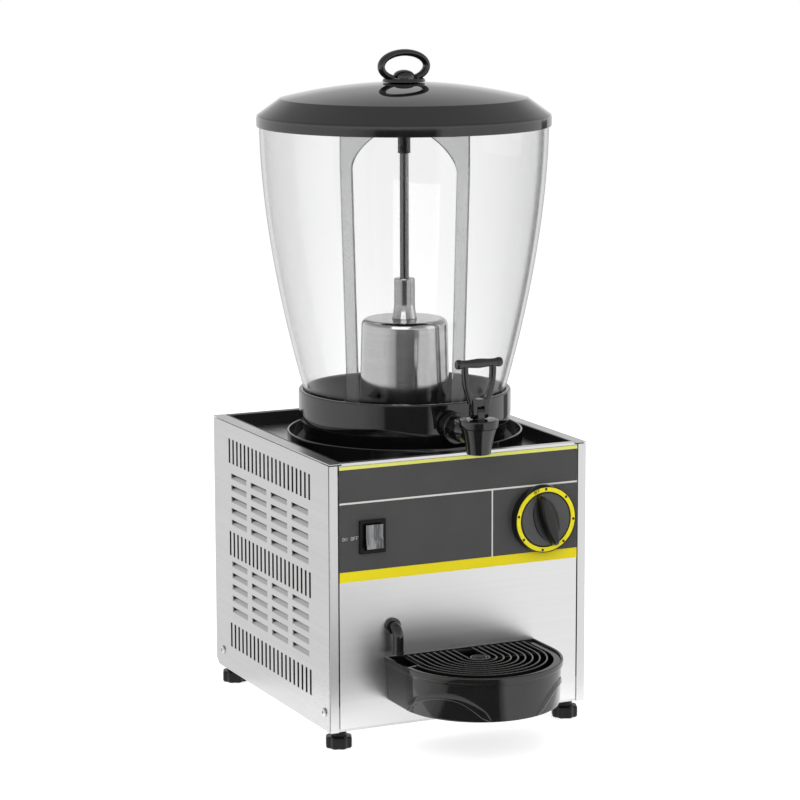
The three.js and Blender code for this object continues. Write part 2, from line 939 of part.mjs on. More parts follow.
// Dial in its own frame: y = 0 is the front of the film, and the shaft runs along +Y
function thermostatKnob() {
  const back = -dialBackGap;
  const face = back - dialDepth;
  const grooveInner = dialGrooveRadius - dialGrooveWidth;
  const profile = [
    [0, face],
    [grooveInner, face],
    [grooveInner, face + dialGrooveDepth],
    [dialGrooveRadius, face + dialGrooveDepth],
    [dialGrooveRadius, face],
    [dialFrontRadius, face],
    [dialRadius, back],
    [dialRadius - dialWall, back],
    [dialFrontRadius - dialWall, face + dialGrooveDepth + dialWall],
    [dialHubRadius, face + dialGrooveDepth + dialWall],
    [dialHubRadius, back],
    [dialShaftRadius, back],
    [dialShaftRadius, dialShaftReach],
    [0, dialShaftReach],
  ];
  const body = alongY(revolve(profile, dialSides));
  const base = arc(0, 0, dialBaseWidth / 2, dialBaseLength / 2, 0, fullTurn, pipeSides);
  base.pop();
  const oval = slab('xz', base, face - dialBaseHeight, dialBaseHeight + dialGrooveDepth);
  oval.rotateY(-gripTilt);
  const low = lens(gripLength, gripWidth);
  const high = lens(gripLength * gripTaperShare, gripWidth * gripTaperShare);
  const grip = loft([
    { outline: low, height: -face - dialGrooveDepth },
    { outline: low, height: gripHeight / 2 - face },
    { outline: high, height: gripHeight - face },
  ]);
  grip.rotateX(quarterTurn);
  grip.rotateY(-gripTilt);
  return build([body, oval, grip]);
}

// Pointed oval between two equal arcs, its length along Y
function lens(length, width) {
  const half = length / 2;
  const rise = width / 2;
  const radius = (half * half + rise * rise) / (2 * rise);
  const reach = Math.asin(half / radius);
  const right = arc(rise - radius, 0, radius, radius, -reach, reach, gripPoints);
  const left = arc(radius - rise, 0, radius, radius, Math.PI - reach, Math.PI + reach, gripPoints);
  return [...right.slice(0, gripPoints), ...left.slice(0, gripPoints)];
}

function thermostatBody() {
  const start = sheet + gap - filmFront;
  const end = start + thermostatDepth;
  const bore = dialShaftRadius + turnGap;
  const profile = [
    [bore, start],
    [thermostatRadius, start],
    [thermostatRadius, end],
    [0, end],
    [0, dialShaftReach + gap],
    [bore, dialShaftReach + gap],
  ];
  return build([alongY(revolve(profile, pipeSides))]);
}

// Path of the elbow and its bore: out of the panel, round the bend and down
function elbowPath(extra) {
  const path = new THREE.CurvePath();
  const y = -elbowReach;
  const bendStart = new THREE.Vector3(0, y + elbowBend, 0);
  const bendEnd = new THREE.Vector3(0, y, -elbowBend);
  const corner = new THREE.Vector3(0, y, 0);
  path.add(new THREE.LineCurve3(new THREE.Vector3(0, elbowSpigot + extra, 0), bendStart));
  path.add(new THREE.QuadraticBezierCurve3(bendStart, corner, bendEnd));
  path.add(new THREE.LineCurve3(bendEnd, new THREE.Vector3(0, y, elbowEndZ - elbowZ - extra)));
  return path;
}

function drainElbow() {
  const collarFront = -gap - elbowCollarDepth;
  const collar = alongY(cylinder(elbowCollarRadius, collarFront, -gap, pipeSides));
  const outer = tube(elbowPath(0), elbowRadius, smallSides, bendSteps);
  const bore = tube(elbowPath(overrun), elbowBore, smallSides, bendSteps);
  return build([outer, collar], [bore]);
}

// Path of the hose between its two straight ends
function hosePath() {
  const top = new THREE.Vector3(0, drainY, deckTop - sheet - gap - nippleReach / 2);
  const straight = new THREE.Vector3(0, drainY, deckTop - sheet - gap - nippleReach - nippleReach);
  const seat = new THREE.Vector3(0, elbowSpigot + hoseGrip, elbowZ);
  const end = new THREE.Vector3(0, elbowSpigot - hoseGrip / 2, elbowZ);
  const path = new THREE.CurvePath();
  path.add(new THREE.LineCurve3(top, straight));
  path.add(new THREE.QuadraticBezierCurve3(straight, new THREE.Vector3(0, drainY, elbowZ), seat));
  path.add(new THREE.LineCurve3(seat, end));
  return path;
}

function drainHose() {
  const bore = nippleRadius + turnGap + gap;
  const wide = bore + hoseWall;
  const end = elbowSpigot - hoseGrip;
  const seat = elbowSpigot + hoseWall;
  const sleeve = moved(alongY(cylinder(wide, end, seat, smallSides)), 0, 0, elbowZ);
  const socket = moved(alongY(cylinder(bore, end - overrun, seat, smallSides)), 0, 0, elbowZ);
  const top = deckTop - sheet - gap;
  const low = top - nippleReach;
  const neck = moved(cylinder(wide, low, top, smallSides), 0, drainY, 0);
  const mouth = moved(cylinder(bore, low, top + overrun, smallSides), 0, drainY, 0);
  const outer = tube(hosePath(), wide, smallSides, bendSteps);
  const inner = tube(hosePath(), bore, smallSides, bendSteps);
  return build([outer, sleeve, neck], [inner, socket, mouth]);
}

// Outline of tray and grid: straight sides from the panel, then a half circle to the front
function trayOutline(radius, back, steps) {
  return [
    point(-radius, back),
    ...arc(0, trayArcY, radius, radius, Math.PI, fullTurn, steps),
    point(radius, back),
  ];
}

function dripTray() {
  const floor = trayBottom + trayWall;
  const rimBottom = trayTop - trayRimHeight;
  const rimInner = trayRimRadius - trayWall;
  const ledge = trayWallRadius - trayWall;
  const foot = trayFootRadius - trayWall;
  const innerBack = trayBackY - trayWall;
  const outline = (radius, back) => trayOutline(radius, back, trayArcSteps);
  const tray = loft([
    { outline: outline(trayFootRadius, trayBackY), height: trayBottom },
    { outline: outline(trayWallRadius, trayBackY), height: rimBottom },
    { outline: outline(trayRimRadius, trayBackY), height: rimBottom + trayRimStep },
    { outline: outline(trayRimRadius, trayBackY), height: trayTop },
    { outline: outline(rimInner, innerBack), height: trayTop },
    { outline: outline(rimInner, innerBack), height: rebateFloor },
    { outline: outline(ledge, innerBack - gap), height: rebateFloor },
    { outline: outline(foot, innerBack - gap), height: floor },
  ]);
  const holes = [];
  for (const x of [-studX, studX]) {
    const hole = alongY(cylinder(studRadius + slideGap, -studReach - overrun, overrun, smallSides));
    holes.push(moved(hole, x, 0, studZ));
  }
  return build([tray], holes);
}

function trayStud() {
  const profile = [
    [0, -studReach],
    [studRadius - gap, -studReach],
    [studRadius, gap - studReach],
    [studRadius, sheet + gap],
    [studFlangeRadius, sheet + gap],
    [studFlangeRadius, sheet + gap + sheet],
    [0, sheet + gap + sheet],
  ];
  return build([alongY(revolve(profile, smallSides))]);
}

// One rib of the grid: two straight legs joined by a half circle
function gridRib(radius, back) {
  const outer = radius + gridRibWidth / 2;
  const inner = radius - gridRibWidth / 2;
  const outside = trayOutline(outer, back, gridArcSteps);
  const inside = trayOutline(inner, back, gridArcSteps).reverse();
  return slab('xy', [...outside, ...inside], gridTop - gridRibDepth, gridRibDepth);
}

function dripGrid() {
  const seat = rebateFloor + gap;
  const frameRadius = trayRimRadius - trayWall - slideGap;
  const frameBack = trayBackY - trayWall - slideGap;
  const inner = frameRadius - gridFrameWidth;
  const ribBack = frameBack - gridBackBar / 2;
  const outline = trayOutline(frameRadius, frameBack, trayArcSteps);
  const hole = trayOutline(inner, frameBack - gridBackBar, trayArcSteps);
  const added = [plate('xy', outline, seat, gridFrameDepth, [hole])];
  for (let rib = 0; rib < gridRibs; rib += 1) {
    added.push(gridRib(gridFirstRib + rib * gridRibPitch, ribBack));
  }
  const spokeTop = seat + gridFrameDepth / 2;
  const spoke = box(0, inner + gridFrameWidth / 2, -gridSpokeWidth / 2, gridSpokeWidth / 2, seat, spokeTop);
  for (let step = 0; step < gridSpokes; step += 1) {
    const arm = spoke.clone();
    arm.rotateZ(Math.PI + (Math.PI * step) / (gridSpokes - 1));
    added.push(moved(arm, 0, trayArcY, 0));
  }
  added.push(moved(cylinder(gridBossRadius, seat, gridTop, pipeSides), 0, trayArcY, 0));
  const left = -frameRadius - overrun;
  const notch = box(left, -gridNotchX, -gridNotchY, overrun, seat - overrun, gridTop + overrun);
  return build(added, [notch]);
}

function dripRing() {
  const innerWall = dripRingRadius - dripRingWall;
  const edge = dripRingWall / 4;
  const floorTop = gap + dripRingFloor;
  const profile = [
    [dripRingHole, gap],
    [dripRingRadius, gap],
    [dripRingRadius, dripRingHeight - edge],
    [dripRingRadius - edge, dripRingHeight],
    [innerWall + edge, dripRingHeight],
    [innerWall, dripRingHeight - edge],
    [innerWall, floorTop],
    [dripRingHole, floorTop],
  ];
  const y = drainY - bowlAxisY;
  const nipple = moved(cylinder(nippleRadius, -nippleReach, floorTop, smallSides), drainX, y, 0);
  const bore = cylinder(nippleBore, -nippleReach - overrun, floorTop + overrun, smallSides);
  return build([revolve(profile, bowlSides), nipple], [moved(bore, drainX, y, 0)]);
}

function collarOuter(height) {
  const share = Math.max(0, 1 - height / collarCurveTop);
  return collarRadius - collarDrop * share ** collarCurvePower;
}

function tailHole() {
  const hole = alongY(cylinder(tailRadius + tailHoleGap, -dripRingRadius, -collarLedgeRadius, pipeSides));
  return moved(hole, 0, 0, tailInBowlZ);
}

function bowlCollar() {
  const foot = gap + dripRingFloor + gap;
  const inner = bowlFootRadius + bowlFootGap;
  const corner = bowlCorner + bowlFootGap;
  const centre = bowlFootRadius - bowlCorner;
  const cornerZ = bowlFloorZ + bowlCorner;
  const profile = [];
  for (let step = 0; step <= collarCurveSteps; step += 1) {
    const height = foot + ((collarCurveTop - foot) * step) / collarCurveSteps;
    profile.push([collarOuter(height), height]);
  }
  profile.push([collarRadius, collarHeight - collarEdge]);
  profile.push([collarRadius - collarEdge, collarHeight]);
  profile.push([inner + collarEdge, collarHeight]);
  profile.push([inner, collarHeight - collarEdge]);
  for (const at of arc(centre, cornerZ, corner, corner, 0, -quarterTurn, bowlCornerSteps)) {
    profile.push([at.x, at.y]);
  }
  const ledgeTop = cornerZ - corner;
  profile.push([collarLedgeRadius, ledgeTop]);
  profile.push([collarLedgeRadius, ledgeTop - collarLedge]);
  profile.push([collarOuter(foot) - collarFootWidth, ledgeTop - collarLedge]);
  profile.push([collarOuter(foot) - collarFootWidth, foot]);
  return build([revolve(profile, bowlSides)], [tailHole()]);
}

// Outer radius of the bowl above its straight foot: a bell that flares fast, then stands upright
function bowlOuter(height) {
  const reach = (height - bowlFlareBottom) / (bowlFlareTop - bowlFlareBottom);
  const left = 1 - Math.min(1, Math.max(0, reach));
  return bowlMouthRadius - (bowlMouthRadius - bowlFootRadius) * left ** bowlFlarePower;
}

function bowlBody() {
  const centre = bowlFootRadius - bowlCorner;
  const cornerZ = bowlFloorZ + bowlCorner;
  const innerCorner = bowlCorner - bowlWall;
  const edge = bowlWall / 4;
  const profile = [[bowlHole, bowlFloorZ]];
  for (const at of arc(centre, cornerZ, bowlCorner, bowlCorner, -quarterTurn, 0, bowlCornerSteps)) {
    profile.push([at.x, at.y]);
  }
  const flare = [];
  for (let step = 0; step <= bowlFlareSteps; step += 1) {
    const height = bowlFlareBottom + ((bowlFlareTop - bowlFlareBottom) * step) / bowlFlareSteps;
    flare.push([bowlOuter(height), height]);
  }
  profile.push(...flare);
  profile.push([bowlMouthRadius, bowlHeight - edge]);
  profile.push([bowlMouthRadius - edge, bowlHeight]);
  profile.push([bowlMouthRadius - bowlWall + edge, bowlHeight]);
  profile.push([bowlMouthRadius - bowlWall, bowlHeight - edge]);
  for (const [radius, height] of flare.reverse()) {
    profile.push([radius - bowlWall, height]);
  }
  for (const at of arc(centre, cornerZ, innerCorner, innerCorner, 0, -quarterTurn, bowlCornerSteps)) {
    profile.push([at.x, at.y]);
  }
  profile.push([bowlHole, bowlFloorZ + bowlWall]);
  return build([revolve(profile, bowlSides)], [tailHole()]);
}

function bowlSeal() {
  const inner = domeRadius + gap;
  const neck = bowlHole - gap;
  const lip = sealLipRadius;
  const under = bowlFloorZ - gap;
  const over = bowlFloorZ + bowlWall + gap;
  const profile = [
    [inner, under - sealLipHeight],
    [lip, under - sealLipHeight],
    [lip, under],
    [neck, under],
    [neck, over],
    [lip, over],
    [lip, over + sealLipHeight],
    [inner, over + sealLipHeight],
  ];
  return build([revolve(profile, bowlSides)]);
}

function coolingDome() {
  const straight = bowlFloorZ + bowlWall + gap + sealLipHeight;
  const cornerZ = domeHeight - domeCorner;
  const cornerX = domeTopRadius - domeCorner;
  const innerCorner = domeCorner - domeWall;
  const profile = [
    [domeRadius - domeWall, gap],
    [domeFlangeRadius, gap],
    [domeFlangeRadius, gap + domeFlangeHeight],
    [domeRadius, gap + domeFlangeHeight],
    [domeRadius, straight],
  ];
  for (const at of arc(cornerX, cornerZ, domeCorner, domeCorner, 0, quarterTurn, bowlCornerSteps)) {
    profile.push([at.x, at.y]);
  }
  profile.push([domeHole, domeHeight]);
  profile.push([domeHole, domeHeight - domeWall]);
  for (const at of arc(cornerX, cornerZ, innerCorner, innerCorner, quarterTurn, 0, bowlCornerSteps)) {
    profile.push([at.x, at.y]);
  }
  profile.push([domeRadius - domeWall, straight]);
  return build([revolve(profile, bowlSides)]);
}

// Neck in its own frame: z = 0 is the top of the dome
function neckSleeve() {
  const bore = shaftRadius + slideGap;
  const spigot = domeHole - turnGap;
  const profile = [
    [bore, -neckSpigot],
    [spigot, -neckSpigot],
    [spigot, gap],
  ];
  for (let step = 0; step <= neckSteps; step += 1) {
    const part = step / neckSteps;
    const radius = neckTopRadius + (neckRadius - neckTopRadius) * (1 - part) ** 2;
    profile.push([radius, gap + neckFlare * part]);
  }
  profile.push([neckTopRadius, neckHeight - gap]);
  profile.push([neckTopRadius - gap, neckHeight]);
  profile.push([bore, neckHeight]);
  return build([revolve(profile, smallSides)]);
}

function stirrerHub() {
  const body = cylinder(hubRadius, hubBottom, stirrerTop, pipeSides);
  const bore = cylinder(shaftRadius + gap, hubBottom - overrun, shaftTop + gap, pipeSides);
  const slotHalf = stirrerThickness / 2 + gap;
  const slotBottom = stirrerTop - stirrerCrownDepth - gap;
  const reach = hubRadius + overrun;
  const slot = box(-reach, reach, -slotHalf, slotHalf, slotBottom, stirrerTop + overrun);
  return build([body], [bore, slot]);
}

// Stirrer frame: a clear plate with a wide crown and two legs that sweep close round the dome
function stirrerFrame() {
  const innerTop = stirrerOuterTop - stirrerLegTop;
  const innerBottom = stirrerOuterBottom - stirrerLegBottom;
  const cornerX = stirrerOuterTop - stirrerCorner;
  const cornerZ = stirrerTop - stirrerCorner;
  const outer = [
    point(stirrerOuterTop, stirrerShoulder),
    ...arc(cornerX, cornerZ, stirrerCorner, stirrerCorner, 0, quarterTurn, stirrerCornerSteps),
  ];
  const inner = shoulderCurve(innerTop, stirrerTop - stirrerCrownDepth, stirrerInnerShares);
  const flip = (at) => point(-at.x, at.y);
  const outline = [
    point(stirrerOuterBottom, stirrerBottom),
    ...outer,
    ...outer.map(flip).reverse(),
    point(-stirrerOuterBottom, stirrerBottom),
    point(-innerBottom, stirrerBottom),
    ...inner.map(flip),
    ...inner.slice().reverse(),
    point(innerBottom, stirrerBottom),
  ];
  return build([slab('xz', outline, -stirrerThickness / 2, stirrerThickness)]);
}

// Inner curve from the shoulder of a leg to the crown, its two control points given as shares
function shoulderCurve(legX, topZ, shares) {
  const [firstRise, secondRun, secondRise] = shares;
  const rise = topZ - stirrerShoulder;
  const curve = new THREE.CubicBezierCurve(
    point(legX, stirrerShoulder),
    point(legX, stirrerShoulder + rise * firstRise),
    point(legX * secondRun, stirrerShoulder + rise * secondRise),
    point(stirrerCrownHalf, topZ),
  );
  return curve.getPoints(stirrerSteps);
}

function lidTopZ(radius) {
  return lidBevelTop + lidDome * (1 - (radius / lidBevelRadius) ** 2);
}

function lidShell() {
  const skirtInner = bowlMouthRadius + lidSkirtGap;
  const ledgeInner = skirtInner - lidLedge;
  const seat = bowlHeight + gap;
  const bevelSlope = (lidBevelTop - lidSkirtTop) / (lidRadius - lidBevelRadius);
  const cornerZ = lidBevelTop - lidWall - bevelSlope * (ledgeInner - lidBevelRadius);
  const crown = [];
  for (let step = 0; step <= lidDomeSteps; step += 1) {
    crown.push(lidBevelRadius + ((lidHole - lidBevelRadius) * step) / lidDomeSteps);
  }
  const profile = [
    [lidRadius, lidSkirtBottom],
    [lidRadius, lidSkirtTop],
    ...crown.map((radius) => [radius, lidTopZ(radius)]),
    ...crown.slice().reverse().map((radius) => [radius, lidTopZ(radius) - lidWall]),
    [ledgeInner, cornerZ],
    [ledgeInner, seat],
    [skirtInner, seat],
    [skirtInner, lidSkirtBottom],
  ];
  return build([revolve(profile, bowlSides)]);
}

// Ring handle in its own frame: z = 0 is the top of the lid
function lidHandle() {
  const baseTop = gap + handleBaseHeight;
  const ring = arc(0, handleCentreRise, handleOuterX, handleOuterZ, 0, fullTurn, handleSteps);
  const opening = arc(0, handleCentreRise, handleInnerX, handleInnerZ, 0, fullTurn, handleSteps);
  ring.pop();
  opening.pop();
  const seat = cylinder(capRadius + gap, baseTop, baseTop + gap + capHeight + gap, pipeSides);
  const below = box(-handleOuterX, handleOuterX, -handleDepth, handleDepth, -handleOuterZ, gap);
  return build(
    [
      cylinder(handleBaseRadius, gap, baseTop, dialSides),
      plate('xz', ring, -handleDepth / 2, handleDepth, [opening]),
    ],
    [seat, below, cylinder(capStemRadius + turnGap, -overrun, baseTop + overrun, smallSides)],
  );
}

// Domed screw that clamps the handle to the lid
function handleCapScrew() {
  const seat = gap + handleBaseHeight + gap;
  const profile = [
    [0, -capStemReach],
    [capStemRadius, -capStemReach],
    [capStemRadius, seat],
    [capRadius, seat],
  ];
  for (const at of arc(0, seat + capEdge, capRadius, capHeight - capEdge, 0, quarterTurn, capSteps)) {
    profile.push([at.x, at.y]);
  }
  profile[profile.length - 1][0] = 0;
  return build([revolve(profile, pipeSides)]);
}

// Height of the valve seat at a radius
function seatZ(radius) {
  const slope = seatDrop / (chamberRadius - outletRadius);
  return seatTop - (chamberRadius - radius) * slope;
}

// Tap pieces share one frame: z along the valve, y towards the bowl
function tapBody() {
  const spout = [[outletRadius, spoutBottom]];
  for (let step = 0; step <= spoutSteps; step += 1) {
    const part = step / spoutSteps;
    const radius = spoutBottomRadius + (spoutTopRadius - spoutBottomRadius) * part ** spoutFlarePower;
    spout.push([radius, spoutBottom + (spoutTop - spoutBottom) * part]);
  }
  spout.push([outletRadius, spoutTop]);
  const tail = [
    [0, inletNeckStart],
    [inletNeckRadius, inletNeckStart],
    [inletNeckRadius, inletNeckEnd],
    [inletRadius, inletFlareEnd],
    [inletRadius, nutFront - gap],
    [tailRadius, nutFront - gap],
    [tailRadius, tailEnd],
    [0, tailEnd],
  ];
  const chamber = [
    [0, spoutBottom - overrun],
    [outletRadius, spoutBottom - overrun],
    [outletRadius, seatTop - seatDrop],
    [chamberRadius, seatTop],
    [chamberRadius, spoutTop + overrun],
    [0, spoutTop + overrun],
  ];
  return build(
    [revolve(spout, pipeSides), alongY(revolve(tail, pipeSides))],
    [revolve(chamber, pipeSides), alongY(cylinder(inletBore, 0, tailEnd + overrun, smallSides))],
  );
}

function tapBonnet() {
  const seat = spoutTop + gap;
  const profile = [
    [0, spoutTop - bonnetSpigot],
    [chamberRadius - gap, spoutTop - bonnetSpigot],
    [chamberRadius - gap, seat],
    [bonnetRadius, seat],
    [bonnetRadius, bonnetTop - gap],
    [bonnetRadius - gap, bonnetTop],
    [0, bonnetTop],
  ];
  const turret = box(-turretHalf, turretHalf, -turretRadius, turretRadius, seat, pinRise);
  const top = moved(alongX(cylinder(turretRadius, -turretHalf, turretHalf, pipeSides)), 0, 0, pinRise);
  const pinHole = alongX(cylinder(pinRadius + turnGap, -bonnetRadius, bonnetRadius, smallSides));
  return build(
    [revolve(profile, pipeSides), turret, top],
    [cylinder(stemBoreRadius, -bonnetTop, stemBoreTop, smallSides), moved(pinHole, 0, 0, pinRise)],
  );
}

// Lever in its own frame: the pin runs along X through the origin
function tapLever() {
  const inner = turretHalf + turnGap;
  const outer = inner + eyeWidth;
  const webLow = webBottom - pinRise;
  const webHigh = webTop - pinRise;
  const bar = barRise - pinRise;
  const slope = (forkTopX - forkBottomX) / (forkTopZ - forkBottomZ);
  const low = forkBottomZ - pinRise;
  const topX = forkBottomX + slope * (bar - low);
  const half = forkWidth / 2;
  const leg = [
    point(forkBottomX - half, low),
    point(forkBottomX + half, low),
    point(topX + half, bar),
    point(topX - half, bar),
  ];
  const added = [box(-outer, outer, -webHalfDepth, webHalfDepth, webLow, webHigh)];
  for (const side of [-1, 1]) {
    const eye = alongX(cylinder(eyeRadius, inner, outer, pipeSides));
    const stem = box(inner, outer, -webHalfDepth, webHalfDepth, 0, webHigh);
    const fork = slab('xz', leg, -forkDepth / 2, forkDepth);
    for (const piece of [eye, stem, fork]) {
      piece.scale(side, 1, 1);
      added.push(piece);
    }
  }
  const grip = [
    [0, -barHalfLength],
    [barRadius, -barHalfLength],
    [barBulbRadius, barBulbLength / 2 - barHalfLength],
    [barRadius, barBulbLength - barHalfLength],
    [barRadius, barHalfLength - barBulbLength],
    [barBulbRadius, barHalfLength - barBulbLength / 2],
    [barRadius, barHalfLength],
    [0, barHalfLength],
  ];
  added.push(moved(alongX(revolve(grip, pipeSides)), 0, 0, bar));
  const hole = alongX(cylinder(pinRadius + turnGap, -outer - overrun, outer + overrun, smallSides));
  return build(added, [hole]);
}

function leverPin() {
  const head = turretHalf + turnGap + eyeWidth + gap;
  const end = head + pinHeadDepth;
  const profile = [
    [0, -end],
    [pinHeadRadius, -end],
    [pinHeadRadius, -head],
    [pinRadius, -head],
    [pinRadius, head],
    [pinHeadRadius, head],
    [pinHeadRadius, end],
    [0, end],
  ];
  return build([alongX(revolve(profile, smallSides))]);
}

function tapPlunger() {
  const nose = seatZ(discNoseRadius) + seatClearance;
  const profile = [
    [0, nose],
    [discNoseRadius, nose],
    [discRadius, seatZ(discRadius) + seatClearance],
    [discRadius, discTop],
    [stemRadius, discTop],
    [stemRadius, stemTop],
    [0, stemTop],
  ];
  return build([revolve(profile, pipeSides)]);
}

// Ring on the tail of the tap, from one distance along it to another
function tailRing(radius, start, depth) {
  const bore = tailRadius + gap;
  const edge = gap;
  const profile = [
    [bore, start],
    [radius - edge, start],
    [radius, start + edge],
    [radius, start + depth],
    [bore, start + depth],
  ];
  return build([alongY(revolve(profile, pipeSides))]);
}

// Stirring drive in the frame of the bowl: its flange hangs from the deck
function gearMotor() {
  const top = -sheet - gap;
  const under = top - gearFlangeHeight;
  const profile = [
    [0, under - gearBodyHeight],
    [gearBodyRadius, under - gearBodyHeight],
    [gearBodyRadius, under],
    [gearFlangeRadius, under],
    [gearFlangeRadius, top],
    [0, top],
  ];
  const bore = cylinder(shaftRadius + gap, shaftBottom - gap, overrun, pipeSides);
  const passage = cylinder(suctionRadius + turnGap, under - overrun, overrun, smallSides);
  return build([revolve(profile, dialSides)], [bore, moved(passage, suctionX, suctionY, 0)]);
}

function compressor() {
  const foot = compressorFootSide / 2;
  const top = compressorHeight;
  const edge = compressorEdge;
  const profile = [
    [0, 0],
    [compressorRadius - edge, 0],
    [compressorRadius, edge],
    [compressorRadius, top - edge - edge],
    [compressorRadius - edge, top - edge / 2],
    [compressorRadius / 2, top],
    [0, top],
  ];
  const portX = suctionX - compressorX;
  const port = cylinder(compressorPortRadius, top - edge - edge, top + compressorPortRise, smallSides);
  return build([
    revolve(profile, dialSides),
    box(-foot, foot, -foot, foot, 0, compressorFoot),
    moved(port, portX, compressorPortY, 0),
  ]);
}

// Suction pipe from the compressor up through the deck into the dome, in the frame of the cabinet
function suctionPipe() {
  const startY = compressorY + compressorPortY;
  const endY = bowlAxisY + suctionY;
  const start = onPan + compressorHeight + compressorPortRise + gap;
  const underDeck = deckTop - gearBodyHeight;
  const path = new THREE.CurvePath();
  const low = new THREE.Vector3(suctionX, startY, start + suctionRise);
  const high = new THREE.Vector3(suctionX, endY, underDeck);
  const lowControl = new THREE.Vector3(suctionX, startY, (low.z + high.z) / 2);
  const highControl = new THREE.Vector3(suctionX, endY, (low.z + high.z) / 2);
  path.add(new THREE.LineCurve3(new THREE.Vector3(suctionX, startY, start), low));
  path.add(new THREE.CubicBezierCurve3(low, lowControl, highControl, high));
  path.add(new THREE.LineCurve3(high, new THREE.Vector3(suctionX, endY, deckTop + suctionTop)));
  return build([tube(path, suctionRadius, smallSides, bendSteps)]);
}

// Fan motor in its own frame: the fan axis is the X axis; three arms reach to the shroud
function fanMotor() {
  const body = alongX(cylinder(motorRadius, motorX, motorX + motorDepth, pipeSides));
  const shaft = alongX(cylinder(motorShaftRadius, motorX, fanX + fanHubDepth / 2, smallSides));
  const added = [body, shaft];
  for (let arm = 0; arm < motorArms; arm += 1) {
    const half = motorArmWidth;
    const low = motorRadius / 2;
    const spoke = box(motorX, motorX + motorArmWidth, -half, half, low, motorArmReach);
    const rise = motorArmReach - motorArmWidth;
    const finger = box(motorX, shroudX - gap, -half, half, rise, motorArmReach);
    for (const piece of [spoke, finger]) {
      piece.rotateX((fullTurn * arm) / motorArms);
      added.push(piece);
    }
  }
  return build(added);
}

function fanBlade() {
  const hub = alongX(cylinder(fanHubRadius, fanX, fanX + fanHubDepth, pipeSides));
  const added = [hub];
  const half = fanBladeThickness / 2;
  for (let blade = 0; blade < fanBlades; blade += 1) {
    const chord = fanBladeChord / 2;
    const vane = box(-half, half, -chord, chord, fanHubRadius - half, fanRadius);
    vane.rotateZ(fanBladePitch);
    vane.translate(fanX + fanHubDepth / 2, 0, 0);
    vane.rotateX((fullTurn * blade) / fanBlades);
    added.push(vane);
  }
  const bore = cylinder(motorShaftRadius + gap, fanX - overrun, fanX + fanHubDepth + overrun, smallSides);
  return build(added, [alongX(bore)]);
}

function fanShroud() {
  const front = fanY - condenserWidth / 2;
  const outline = rectangle(front, front + condenserWidth, onPan, onPan + condenserHeight);
  const mouth = circle(fanY, fanZ, shroudHole, pipeSides + pipeSides);
  return plate('yz', outline, shroudX, shroudThickness, [mouth]);
}

// Condenser: a block with upright fins on its outer side
function condenserBlock() {
  const front = fanY - condenserWidth / 2;
  const pitch = condenserWidth / condenserFins;
  const root = condenserX + condenserDepth - condenserFinDepth;
  const tip = condenserX + condenserDepth;
  const outline = [point(condenserX, front)];
  for (let fin = 0; fin < condenserFins; fin += 1) {
    const start = front + fin * pitch;
    const end = start + pitch * condenserFinShare;
    outline.push(point(tip, start), point(tip, end), point(root, end));
    outline.push(point(root, start + pitch));
  }
  outline.push(point(condenserX, front + condenserWidth));
  return slab('xy', outline, onPan, condenserHeight);
}

function filterDrier() {
  const shoulder = drierNeck * 2;
  const profile = [
    [0, 0],
    [drierNeckRadius, 0],
    [drierNeckRadius, drierNeck],
    [drierRadius, shoulder],
    [drierRadius, drierHeight - shoulder],
    [drierNeckRadius, drierHeight - drierNeck],
    [drierNeckRadius, drierHeight],
    [0, drierHeight],
  ];
  return build([revolve(profile, smallSides)]);
}

// Cord gland in its own frame: y = 0 is the outer face of the back panel
function cordGland() {
  const profile = [
    [glandBore, -glandDepth],
    [glandRadius, -glandDepth],
    [glandRadius, gap],
    [glandFlangeRadius, gap],
    [glandFlangeRadius, gap + glandFlange],
    [glandBore, gap + glandFlange],
  ];
  return build([alongY(revolve(profile, smallSides))]);
}

function assembleCabinet(machine) {
  add(machine, 'base_pan', basePan(), brushedSteel);
  add(machine, 'front_panel', frontPanel(), brushedSteel);
  const side = sidePanel();
  add(machine, 'right_side_panel', side, paintedSteel).position.x = sideInnerX;
  add(machine, 'left_side_panel', mirrored(side), paintedSteel).position.x = -sideInnerX;
  add(machine, 'back_panel', backPanel(), paintedSteel);
  const post = cornerPost();
  add(machine, 'right_front_post', post, paintedSteel);
  add(machine, 'left_front_post', mirrored(post), paintedSteel);
  const rail = topRail();
  add(machine, 'right_top_rail', rail, paintedSteel);
  add(machine, 'left_top_rail', mirrored(rail), paintedSteel);
  add(machine, 'deck', deckPlate(), brushedSteel);
  add(machine, 'well_trim', wellTrim(), blackPlastic);
  add(machine, 'front_film', frontFilm(), darkFilm);
  const foot = levellingFoot();
  const screw = sideScrew();
  for (const [across, x, turn] of [['left', -1, Math.PI], ['right', 1, 0]]) {
    for (const [along, footY, headY] of [['front', footFrontY, screwY], ['back', footBackY, screwBackY]]) {
      add(machine, `${along}_${across}_foot`, foot, blackPlastic).position.set(x * footX, footY, 0);
      const head = add(machine, `${along}_${across}_side_screw`, screw, coolSteel);
      head.position.set(x * halfWidth, headY, screwZ);
      head.rotation.z = turn;
    }
  }
}

function assembleControls(machine) {
  const control = new THREE.Group();
  control.position.y = filmFront;
  machine.add(control);
  add(control, 'switch_bezel', switchBezel(), blackPlastic).position.set(switchX, 0, switchZ);
  const rocker = add(control, 'switch_rocker', switchRocker(), greyPlastic);
  rocker.position.set(switchX, rockerPivotDepth, switchZ);
  rocker.rotation.x = rockerRestAngle;
  add(control, 'thermostat_body', thermostatBody(), darkPaint).position.set(dialX, 0, dialZ);
  add(control, 'thermostat_knob', thermostatKnob(), blackPlastic).position.set(dialX, 0, dialZ);
}

